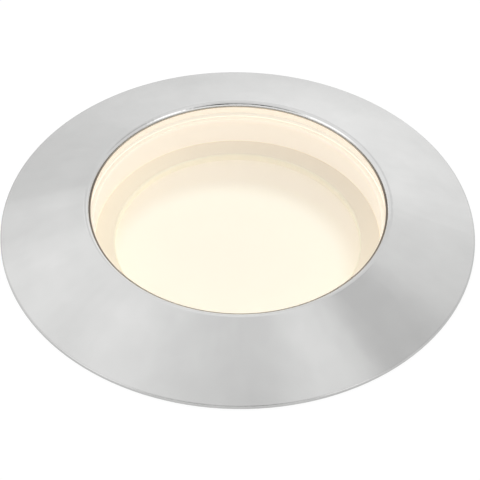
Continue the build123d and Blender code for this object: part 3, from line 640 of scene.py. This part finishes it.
@dataclass(frozen=True)
class ClearGlass(Finish):
    """Polished clear glass with a trace of wiping marks, and white enamel round the side of its neck that
    carries a painted glow.
    """

    colour: Colour = (0.985, 0.99, 0.98)
    refraction: float = 1.5
    smear: Noise = Noise(0.006)
    smear_span: Pair = (0.55, 0.85)
    smear_rough: float = 0.015
    enamel: Colour = (0.78, 0.74, 0.66)
    # painted light: the glow of the enamel, which is no lamp
    enamel_glow: Colour = (0.625, 0.525, 0.42)
    enamel_side: Pair = (0.0139, 0.013904)
    enamel_foot: Pair = (0.002296, 0.0023)
    enamel_rough: float = 0.5
    coat: Noise = Noise(0.0006)
    coat_rough: float = 0.1
    coat_tone: float = 0.04

    def paint(self, tree: MaterialTree) -> Signal:
        """Build the glass and its enamel.

        Args:
            tree: The material's tree.

        Returns:
            The shader.
        """
        place = tree.position()
        x, y, z = tree.parts(place)
        smear = tree.noise(place, self.smear).ease(*self.smear_span)
        clear = tree.principled(
            Base_Color=self.colour,
            Roughness=smear * self.smear_rough,
            IOR=self.refraction,
            Transmission_Weight=1.0,
        )
        coat = tree.noise(place, self.coat)
        white = tree.principled(
            Base_Color=self.enamel,
            Roughness=self.enamel_rough + coat * self.coat_rough,
            # painted glow on the enamel
            Emission_Color=tree.scaled(self.enamel_glow, 1.0 + coat.swing(self.coat_tone)),
            Emission_Strength=1.0,
        )
        side = tree.radius(x, y).ease(*self.enamel_side)
        return tree.blended(side * z.ease(*self.enamel_foot), clear, white)


@dataclass(frozen=True)
class CircuitBoard(Finish):
    """A circuit board: solder mask over tracks, with the bare edge of its core."""

    mask: Colour = (0.04, 0.20, 0.09)
    track: Colour = (0.07, 0.30, 0.13)
    core: Colour = (0.55, 0.50, 0.33)
    faces: Pair = (0.0, 0.0)
    skin_span: Pair = (0.44, 0.49)
    track_size: float = 0.00242
    track_span: Pair = (0.10, 0.13)
    track_depth: float = 0.00002
    weave: Noise = Noise(0.00008, 2.0, 0.5)
    weave_stretch: float = 0.2
    weave_tone: float = 0.3
    roughness: float = 0.35
    weave_rough: float = 0.1

    def paint(self, tree: MaterialTree) -> Signal:
        """Build the board, whose lower and upper faces lie at its two heights.

        Args:
            tree: The material's tree.

        Returns:
            The shader.
        """
        place = tree.position()
        x, y, z = tree.parts(place)
        cells = tree.cells(tree.joined(x, y, 0.0), self.track_size, "DISTANCE_TO_EDGE")
        lines = cells.ease(*self.track_span)
        low, high = self.faces
        thickness = high - low
        skin = abs(z - (low + high) / 2).ease(thickness * self.skin_span[0], thickness * self.skin_span[1])
        face = tree.mixed(lines, self.mask, self.track)
        weave = tree.noise(tree.joined(x * self.weave_stretch, y * self.weave_stretch, z), self.weave)
        edge = tree.scaled(self.core, 1.0 + weave.swing(self.weave_tone))
        return tree.principled(
            Base_Color=tree.mixed(skin, edge, face),
            Roughness=self.roughness + weave.swing(self.weave_rough),
            Normal=tree.bump(lines * skin, self.track_depth),
        )


@dataclass(frozen=True)
class TwoTone(Finish):
    """A piece of two finishes, parted at one height, such as a phosphor window in a package."""

    lower: Colour = (0.85, 0.85, 0.82)
    upper: Colour = (0.92, 0.78, 0.25)
    border: float = 0.0
    softness: float = 0.00002
    roughness: float = 0.40
    upper_metal: float = 0.0
    grain: Noise = Noise(0.00015)
    grain_depth: float = 0.000005
    grain_rough: float = 0.15
    grain_tone: float = 0.12

    def paint(self, tree: MaterialTree) -> Signal:
        """Build the two tones.

        Args:
            tree: The material's tree.

        Returns:
            The shader.
        """
        place = tree.position()
        _, _, z = tree.parts(place)
        above = z.ease(self.border - self.softness, self.border + self.softness)
        grain = tree.noise(place, self.grain)
        colour = tree.mixed(above, self.lower, self.upper)
        return tree.principled(
            Base_Color=tree.scaled(colour, 1.0 + grain.swing(self.grain_tone)),
            Roughness=self.roughness + grain.swing(self.grain_rough),
            Metallic=above * self.upper_metal,
            Normal=tree.bump(grain, self.grain_depth),
        )


SCREW_STEEL = WorkedMetal("machined_screws", direction=Grain.ROUND)
SEAL_RUBBER = Rubber("seal_rubber")


# Meshes

def new_object(name: str, vertices: list[Point], faces: list[tuple[int, ...]]) -> bpy.types.Object:
    """Make a smooth-shaded mesh object.

    Args:
        name: Name of the piece.
        vertices: Points in metres.
        faces: Vertex numbers of each face.

    Returns:
        The linked object.
    """
    mesh = bpy.data.meshes.new(name)
    mesh.from_pydata(vertices, [], faces)
    mesh.validate()
    mesh.polygons.foreach_set("use_smooth", [True] * len(mesh.polygons))
    mesh.set_sharp_from_angle(angle=math.radians(SHARP_ANGLE))
    made = bpy.data.objects.new(name, mesh)
    bpy.context.scene.collection.objects.link(made)
    return made


def lathe(name: str, outline: list[Pair], steps: int = 240) -> bpy.types.Object:
    """Turn a closed outline of radius and height pairs about the axis.

    Args:
        name: Name of the piece.
        outline: Radius and height pairs in metres, counterclockwise; a radius of zero closes a pole.
        steps: Divisions of the full turn.

    Returns:
        The turned object.
    """
    vertices: list[Point] = []
    rows: list[list[int]] = []
    for radius, height in outline:
        if radius == 0.0:
            rows.append([len(vertices)] * steps)
            vertices.append((0.0, 0.0, height))
            continue
        row = []
        for step in range(steps):
            angle = 2 * math.pi * step / steps
            row.append(len(vertices))
            vertices.append((radius * math.cos(angle), radius * math.sin(angle), height))
        rows.append(row)
    faces = []
    for lower, upper in zip(rows, rows[1:] + rows[:1]):
        for step in range(steps):
            after = (step + 1) % steps
            corners = (lower[step], lower[after], upper[after], upper[step])
            distinct = tuple(dict.fromkeys(corners))
            if len(distinct) > 2:
                faces.append(distinct)
    return new_object(name, vertices, faces)


def tube(name: str, path: list[Vector], radius: float, sides: int = 20) -> bpy.types.Object:
    """Sweep a round section along a path, with flat ends.

    Args:
        name: Name of the piece.
        path: Points of the centreline in metres.
        radius: Radius of the section.
        sides: Divisions of the section.

    Returns:
        The swept object.
    """
    tangents = []
    for index in range(len(path)):
        before = path[max(index - 1, 0)]
        after = path[min(index + 1, len(path) - 1)]
        tangents.append((after - before).normalized())
    normal = tangents[0].orthogonal().normalized()
    vertices: list[Point] = []
    for point, tangent in zip(path, tangents):
        normal = (normal - tangent * normal.dot(tangent)).normalized()
        side = tangent.cross(normal)
        for step in range(sides):
            angle = 2 * math.pi * step / sides
            offset = normal * (radius * math.cos(angle)) + side * (radius * math.sin(angle))
            vertices.append(tuple(point + offset))
    faces: list[tuple[int, ...]] = []
    for index in range(len(path) - 1):
        low, high = index * sides, (index + 1) * sides
        for step in range(sides):
            after = (step + 1) % sides
            faces.append((low + step, low + after, high + after, high + step))
    last = (len(path) - 1) * sides
    faces.append(tuple(reversed(range(sides))))
    faces.append(tuple(range(last, last + sides)))
    return new_object(name, vertices, faces)


def apply_finish(piece: bpy.types.Object, finish: Finish) -> None:
    """Give a piece one finish all over."""
    piece.data.materials.clear()
    piece.data.materials.append(finish.material())


# Sub-assemblies

@dataclass
class SubAssembly:
    """Pieces that belong together, each with its finish."""

    body: str = "housing"

    def finishes(self) -> dict[str, Finish]:
        """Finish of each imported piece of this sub-assembly."""
        return {}

    def dress(self) -> None:
        """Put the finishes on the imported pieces."""
        for name, finish in self.finishes().items():
            apply_finish(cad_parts[name], finish)
            log.info("dressed %s with %s", name, finish.name)

    def add(self, piece: bpy.types.Object, finish: Finish, slot: str, body: str, *nodes: str) -> None:
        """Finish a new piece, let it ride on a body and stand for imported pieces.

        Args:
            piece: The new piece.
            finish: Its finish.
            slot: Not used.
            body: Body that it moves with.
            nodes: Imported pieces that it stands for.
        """
        apply_finish(piece, finish)
        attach(piece, body)
        if nodes:
            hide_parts(*nodes)
        log.info("built %s on %s", piece.name, body)

    def build(self) -> None:
        """Build the pieces that this sub-assembly adds and dress the rest."""
        self.dress()


@dataclass
class Bezel(SubAssembly):
    """The conical steel ring and its rubber seal."""

    def finishes(self) -> dict[str, Finish]:
        """Turned steel over black rubber."""
        return {"bezel": TurnedSteel("turned_steel"), "flange_seal": SEAL_RUBBER}


@dataclass
class Glazing(SubAssembly):
    """The lens and the dark ring round its neck."""

    neck_radius: float = 0.01391
    neck_chamfer: float = 0.00003
    soft_share: float = 0.3
    shoulder: float = 0.0023
    bed: float = 0.00002
    window_radius: float = 0.01405
    seal_ledge: float = 0.0004
    seal_fillet: float = 0.00003
    seal_drop: float = 0.00001
    seal_colour: Colour = (0.19, 0.155, 0.12)
    gasket_glow: Colour = (0.755, 0.68, 0.58)

    def lens_outline(self) -> list[Pair]:
        """Outline of the glass, a hair inside its seat.

        Returns:
            Radius and height pairs in metres.
        """
        low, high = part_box("lens")
        flange = high.x - self.bed
        bottom = low.z + self.bed
        shoulder = self.shoulder - self.bed
        chamfer_foot = high.z - self.neck_chamfer
        chamfer_inside = self.neck_radius - self.neck_chamfer
        soft = self.neck_chamfer * self.soft_share
        return [
            (0.0, bottom), (flange - self.neck_chamfer, bottom), (flange, bottom + self.neck_chamfer),
            (flange, shoulder), (self.neck_radius, shoulder), (self.neck_radius, chamfer_foot),
            (self.neck_radius - soft, chamfer_foot + soft), (chamfer_inside + soft / 2, high.z - soft / 2),
            (chamfer_inside, high.z), (0.0, high.z),
        ]

    def seal_outline(self) -> list[Pair]:
        """Outline of the dark ring: a lip round the neck and a ledge under the bezel.

        Returns:
            Radius and height pairs in metres.
        """
        low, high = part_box("lens_seal")
        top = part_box("lens")[1].z - self.seal_drop
        inner = self.neck_radius + self.bed
        outer = self.window_radius
        ledge_top = low.z + self.seal_ledge
        return [
            (inner, low.z), (high.x, low.z), (high.x, ledge_top), (outer, ledge_top),
            (outer, top - self.seal_fillet), (outer - self.seal_fillet, top), (inner, top),
        ]

    def build(self) -> None:
        """Build the lens and its seal and dress the gasket."""
        glass = lathe("lens_glass", self.lens_outline())
        self.add(glass, ClearGlass("clear_glass"), "clear_glass", self.body, "lens")
        seal = lathe("lens_seal_ring", self.seal_outline())
        # the dark sealant takes the full painted light, paler towards +Y
        dark = Rubber(
            "dark_sealant", colour=self.seal_colour, roughness=0.5, bloom_share=0.05, painted_light_share=1.0
        )
        self.add(seal, dark, "dark_sealant", self.body, "lens_seal")
        self.dress()

    def finishes(self) -> dict[str, Finish]:
        """White silicone on the gasket, lit from inside."""
        return {"lens_gasket": LitWhite.even("lit_silicone", self.gasket_glow)}


@dataclass
class LightChamber(SubAssembly):
    """The lit white inside: wall, ring, diffuser and reflector, with the light board below."""

    wall_glow: Colour = (0.395, 0.344, 0.306)
    wall_top_glow: Colour = (0.17, 0.115, 0.09)
    wall_face_glow: Colour = (0.14, 0.15, 0.10)
    ring_glow: Colour = (0.390, 0.350, 0.238)
    ring_top_shade: Colour = (-0.060, -0.076, -0.052)
    ring_top_depth: Pair = (0.00006, 0.00001)
    plate_dim: Colour = (0.390, 0.326, 0.258)
    plate_bright: Colour = (0.488, 0.462, 0.383)
    cone_glow: Colour = (0.30, 0.27, 0.20)
    phosphor_depth: float = 0.0001

    def finishes(self) -> dict[str, Finish]:
        """White finishes that glow, and the light board.

        Returns:
            Finish of each piece.
        """
        board_low, board_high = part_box("led_board")
        ring_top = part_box("diffuser_ring")[1].z
        ring_span = tuple(ring_top - depth for depth in self.ring_top_depth)
        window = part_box("led_emitters")[1].z - self.phosphor_depth
        return {
            "light_chamber": LitWhite.even(
                "lit_wall", self.wall_glow, shade=0.06, top_glow=self.wall_top_glow,
                face_glow=self.wall_face_glow,
            ),
            "diffuser_ring": LitWhite.even(
                "lit_ring", self.ring_glow, shade=0.52, top_glow=self.ring_top_shade, top_span=ring_span
            ),
            "diffuser": LitWhite("lit_diffuser", dim=self.plate_dim, bright=self.plate_bright, shade=0.30),
            "reflector": LitWhite.even("lit_reflector", self.cone_glow),
            "thermal_pad": Rubber(
                "thermal_silicone", colour=(0.42, 0.46, 0.52), roughness=0.8, bloom_share=0.05
            ),
            "led_board": CircuitBoard(
                "white_board", mask=(0.80, 0.80, 0.78), track=(0.86, 0.86, 0.84), core=(0.60, 0.61, 0.62),
                faces=(board_low.z, board_high.z),
            ),
            "led_emitters": TwoTone(
                "phosphor_diodes", lower=(0.84, 0.84, 0.80), upper=(0.92, 0.76, 0.20), border=window
            ),
            "led_board_screws": SCREW_STEEL,
        }


@dataclass
class Body(SubAssembly):
    """The cast cup, the driver can, its cover and the cable gland."""

    def finishes(self) -> dict[str, Finish]:
        """Cast metal above, moulded plastic below, with the screws that go into them.

        Returns:
            Finish of each piece.
        """
        gland = MouldedPlastic(
            "gland_polyamide", colour=(0.045, 0.045, 0.048), roughness=0.38, grain_depth=0.000006
        )
        return {
            "lamp_housing": CastMetal("cast_aluminium"),
            "clamp_screws": SCREW_STEEL,
            "clip_screws": SCREW_STEEL,
            "can_gasket": SEAL_RUBBER,
            "driver_can": MouldedPlastic("can_plastic"),
            "rear_cover": MouldedPlastic("cover_plastic", roughness=0.52),
            "cover_gasket": SEAL_RUBBER,
            "cover_screws": SCREW_STEEL,
            "gland_body": gland,
            "gland_ring": SEAL_RUBBER,
            "gland_locknut": gland,
            "gland_seal": SEAL_RUBBER,
            "gland_cap": gland,
        }


@dataclass
class Driver(SubAssembly):
    """The driver board with its components, and the leads to the light board."""

    sleeve_end: float = 0.00012

    def finishes(self) -> dict[str, Finish]:
        """Board, components and leads.

        Returns:
            Finish of each piece.
        """
        board_low, board_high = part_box("driver_board")
        sleeve_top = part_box("input_capacitor")[1].z - self.sleeve_end
        chip = MouldedPlastic(
            "chip_epoxy", colour=(0.02, 0.02, 0.021), roughness=0.45, grain=Noise(0.0001, 3.0, 0.65)
        )
        return {
            "driver_board": CircuitBoard("driver_board_green", faces=(board_low.z, board_high.z)),
            "driver_board_screws": SCREW_STEEL,
            "input_capacitor": TwoTone(
                "capacitor_sleeve", lower=(0.03, 0.04, 0.09), upper=(0.70, 0.70, 0.70),
                border=sleeve_top, upper_metal=1.0, roughness=0.3,
            ),
            "inductor_core": MouldedPlastic("ferrite", colour=(0.05, 0.048, 0.046), roughness=0.6),
            "inductor_winding": WorkedMetal(
                "enamelled_copper", colour=(0.62, 0.27, 0.11), direction=Grain.ALONG_X,
                lines=Noise(0.0003), line_depth=0.00002,
            ),
            "bridge_rectifier": chip,
            "driver_chip": chip,
            "terminal_block": MouldedPlastic("terminal_plastic", colour=(0.06, 0.22, 0.11), roughness=0.4),
            "terminal_screws": SCREW_STEEL,
            "lead_positive": MouldedPlastic("red_insulation", colour=(0.45, 0.02, 0.02), roughness=0.35),
            "lead_negative": MouldedPlastic("black_insulation", colour=(0.02, 0.02, 0.02), roughness=0.35),
            "solder_joints": WorkedMetal("solder", colour=(0.68, 0.68, 0.66), roughness=0.22),
        }


@dataclass
class SpringClip(SubAssembly):
    """One sprung clip: bracket, pin, arm, pad and the coiled spring, whose moving leg follows the arm."""

    side: Side = Side.RIGHT
    pivot_x: float = 0.01505
    pivot_z: float = -0.030
    wire_radius: float = 0.00025
    coil_radius: float = 0.00125
    coil_half_length: float = 0.00275
    coil_turns: float = 4.0
    rest_angle: float = 35.0
    follow_angle: float = 138.0
    seat_x: float = 0.0134
    leg_length: float = 0.00165
    leg_steps: int = 4
    step_angle: float = 7.5
    loose_angle: float = 270.0
    loose_pitch: float = 0.00148

    def named(self, piece: str) -> str:
        """Name of a piece or body on this side."""
        return f"{piece}_{self.side.name.lower()}"

    def total_angle(self) -> float:
        """Angle in degrees that the whole coil is wound through at rest."""
        return FULL_TURN * self.coil_turns + QUARTER_TURN + self.rest_angle

    def coil_point(self, turned: float) -> Vector:
        """A point of the coil, whose last part is wound with a wider pitch.

        Args:
            turned: Angle in degrees from the start of the coil, at its lowest point.

        Returns:
            The point in metres.
        """
        loose_length = self.loose_pitch * self.loose_angle / FULL_TURN
        wound_angle = self.total_angle() - self.loose_angle
        wound_pitch = (2.0 * self.coil_half_length - loose_length) / wound_angle
        if turned < wound_angle:
            along = self.coil_half_length - turned * wound_pitch
        else:
            along = -self.coil_half_length + (self.total_angle() - turned) * self.loose_pitch / FULL_TURN
        angle = math.radians(turned - QUARTER_TURN)
        x = self.pivot_x + self.coil_radius * math.cos(angle)
        z = self.pivot_z + self.coil_radius * math.sin(angle)
        return Vector((self.side.value * x, self.side.value * along, z))

    def arc(self, start: float, end: float) -> list[Vector]:
        """Points of the coil between two angles."""
        steps = max(2, round((end - start) / self.step_angle))
        return [self.coil_point(start + (end - start) * index / steps) for index in range(steps + 1)]

    def build(self) -> None:
        """Build the two pieces of the spring and dress the rest of the clip."""
        total = self.total_angle()
        coil = self.arc(0.0, total - self.follow_angle)
        seat = Vector((self.side.value * self.seat_x, coil[0].y, coil[0].z))
        fixed_leg = [seat.lerp(coil[0], index / self.leg_steps) for index in range(self.leg_steps)]
        steel = WorkedMetal("spring_wire", colour=(0.55, 0.55, 0.54), roughness=0.25, lines=Noise(0.0001))
        wound = tube(self.named("clip_spring_coil"), fixed_leg + coil, self.wire_radius)
        self.add(wound, steel, "spring_steel", self.body, self.named("clip_spring"))
        last = self.arc(total - self.follow_angle, total)
        angle = math.radians(self.rest_angle)
        rise = Vector((-self.side.value * math.sin(angle), 0.0, math.cos(angle)))
        moving_leg = [
            last[-1] + rise * (self.leg_length * index / self.leg_steps)
            for index in range(1, self.leg_steps + 1)
        ]
        moving = tube(self.named("clip_spring_leg"), last + moving_leg, self.wire_radius)
        self.add(moving, steel, "spring_steel", self.named("clip"))
        self.dress()

    def finishes(self) -> dict[str, Finish]:
        """Stamped steel, a drawn pin and a rubber pad.

        Returns:
            Finish of each piece.
        """
        stamped = WorkedMetal("stamped_steel", direction=Grain.ALONG_X, roughness=0.33)
        return {
            self.named("clip_bracket"): stamped,
            self.named("clip_arm"): stamped,
            self.named("clip_pin"): WorkedMetal("drawn_pin", roughness=0.2),
            self.named("clip_pad"): Rubber("pad_rubber", colour=(0.05, 0.05, 0.052)),
        }


# Studio

@dataclass(frozen=True)
class DeckWhite(Finish):
    """The pale deck: it shows as the white background and still takes a little of the shadow."""

    colour: Colour = (0.80, 0.80, 0.80)
    roughness: float = 0.7
    grain: Noise = Noise(0.0006)
    grain_depth: float = 0.00001
    grain_tone: float = 0.04
    top_span: Pair = (-0.00008, -0.00002)
    background_share: float = 0.85
    background: float = 1.05

    def paint(self, tree: MaterialTree) -> Signal:
        """Build the deck.

        Args:
            tree: The material's tree.

        Returns:
            The shader.
        """
        place = tree.position()
        _, _, z = tree.parts(place)
        grain = tree.noise(place, self.grain)
        paint = tree.principled(
            Base_Color=tree.scaled(self.colour, 1.0 + grain.swing(self.grain_tone)),
            Roughness=self.roughness,
            Normal=tree.bump(grain, self.grain_depth),
        )
        glow = tree.node("ShaderNodeEmission", inputs={"Color": WHITE, "Strength": self.background})
        seen = tree.ray("Camera").highest(tree.ray("Glossy")).highest(tree.ray("Transmission"))
        share = seen * z.ease(*self.top_span) * self.background_share
        return tree.blended(share, paint, glow)


@dataclass(frozen=True)
class SoftLight:
    """A patch of light or shade on the studio's walls: full up to its inner angle, gone at its outer."""

    bearing: float
    height: float
    gain: float
    inner: float
    outer: float

    def direction(self) -> Point:
        """Direction of the patch.

        Returns:
            Unit vector towards its middle.
        """
        bearing, height = math.radians(self.bearing), math.radians(self.height)
        reach = math.cos(height)
        return math.cos(bearing) * reach, math.sin(bearing) * reach, math.sin(height)

    def level(self, tree: MaterialTree, towards: Signal) -> Signal:
        """How much of the patch a direction meets, times its gain."""
        along = tree.vector("DOT_PRODUCT", towards, self.direction(), output="Value")
        return along.ease(math.cos(math.radians(self.outer)), math.cos(math.radians(self.inner))) * self.gain


@dataclass
class Studio:
    """The deck panel, the room and the camera.

    The camera sees the room plain white, through the glass too. Reflections and light see its patches.
    """

    panel_radius: float = 0.044
    panel_hole_radius: float = 0.018
    panel_thickness: float = 0.0012
    panel_edge: float = 0.0003
    panel_steps: int = 360
    room_level: float = 1.0
    patches: tuple[SoftLight, ...] = (
        SoftLight(bearing=223, height=25.4, gain=0.24, inner=88.5, outer=91),
        SoftLight(bearing=77, height=2, gain=0.31, inner=5, outer=42),
        SoftLight(bearing=22.5, height=58.5, gain=-0.285, inner=7, outer=19),
        SoftLight(bearing=-60, height=86, gain=-0.28, inner=2, outer=30),
        SoftLight(bearing=105, height=4, gain=-0.14, inner=3, outer=18),
        SoftLight(bearing=6, height=73, gain=0.25, inner=3, outer=11),
        SoftLight(bearing=44, height=38, gain=0.05, inner=3, outer=15),
        SoftLight(bearing=127, height=29, gain=-0.17, inner=2, outer=13),
        SoftLight(bearing=158, height=60, gain=-0.13, inner=4, outer=16),
        SoftLight(bearing=187, height=79, gain=0.10, inner=2, outer=12),
        SoftLight(bearing=53, height=28, gain=0.09, inner=3, outer=14),
        SoftLight(bearing=81, height=1, gain=0.06, inner=3, outer=14),
        SoftLight(bearing=-90, height=45, gain=-0.65, inner=11, outer=22),
        SoftLight(bearing=-64, height=43, gain=-0.65, inner=9, outer=18),
        SoftLight(bearing=-123, height=42, gain=-0.65, inner=10, outer=20),
        SoftLight(bearing=-36, height=36, gain=0.95, inner=4, outer=18),
        SoftLight(bearing=-156, height=34, gain=0.60, inner=4, outer=27),
        SoftLight(bearing=0, height=-90, gain=-0.55, inner=20, outer=87),
    )
    camera_distance: float = 0.360
    camera_elevation: float = 44.9
    camera_roll: float = 1.0
    camera_aim: Pair = (0.000225, -0.00047)
    camera_reach: Pair = (0.1, 10.0)
    sensor_width: float = 36.0
    focal_length: float = 284.4

    def deck(self) -> None:
        """Stage the thin round panel of deck that the light is let into."""
        inner, outer = self.panel_hole_radius, self.panel_radius
        edge, bottom = self.panel_edge, -self.panel_thickness
        outline = [
            (inner, bottom), (outer - edge, bottom), (outer, bottom + edge),
            (outer, -edge), (outer - edge, 0.0), (inner, 0.0),
        ]
        panel = lathe("deck_panel", outline, self.panel_steps)
        apply_finish(panel, DeckWhite("deck_white"))
        log.info("staged %s", panel.name)

    def room(self) -> None:
        """Light the pale room: white behind the object, with soft patches that light it."""
        world = bpy.data.worlds.new("studio")
        world.use_nodes = True
        bpy.context.scene.world = world
        tree = MaterialTree(world.node_tree)
        towards = tree.node("ShaderNodeTexCoord", output="Generated")
        level: Number = self.room_level
        for patch in self.patches:
            level = patch.level(tree, towards) + level
        patched = tree.node("ShaderNodeBackground", inputs={"Color": tree.joined(level, level, level)})
        white = tree.node("ShaderNodeBackground", inputs={"Color": WHITE})
        seen = tree.ray("Camera").highest(tree.ray("Transmission"))
        tree.output(tree.blended(seen, patched, white), "ShaderNodeOutputWorld")

    def camera(self) -> None:
        """Set the camera at the photograph's angle."""
        data = bpy.data.cameras.new("camera")
        data.sensor_width = self.sensor_width
        data.lens = self.focal_length
        data.clip_start = self.camera_distance * self.camera_reach[0]
        data.clip_end = self.camera_distance * self.camera_reach[1]
        camera = bpy.data.objects.new("camera", data)
        bpy.context.scene.collection.objects.link(camera)
        tilt = math.radians(QUARTER_TURN - self.camera_elevation)
        turn = Euler((tilt, 0.0, 0.0)).to_matrix()
        right, up, back = turn.col[0], turn.col[1], turn.col[2]
        aim = right * self.camera_aim[0] + up * self.camera_aim[1]
        camera.location = back * self.camera_distance + aim
        roll = Euler((0.0, 0.0, math.radians(self.camera_roll))).to_matrix()
        camera.rotation_euler = (turn @ roll).to_euler()
        bpy.context.scene.camera = camera

    def build(self) -> None:
        """Set the stage, the light and the camera."""
        bpy.context.scene.view_settings.view_transform = "Standard"
        self.deck()
        self.room()
        self.camera()


def main() -> None:
    """Build and dress every sub-assembly, then set the studio."""
    logging.basicConfig(level=logging.INFO, format="%(message)s")
    assemblies: list[SubAssembly] = [
        Bezel(), Glazing(), LightChamber(), Body(), Driver(), *(SpringClip(side=side) for side in Side),
    ]
    for assembly in assemblies:
        assembly.build()
    Studio().build()


if __name__ == "__main__":
    main()
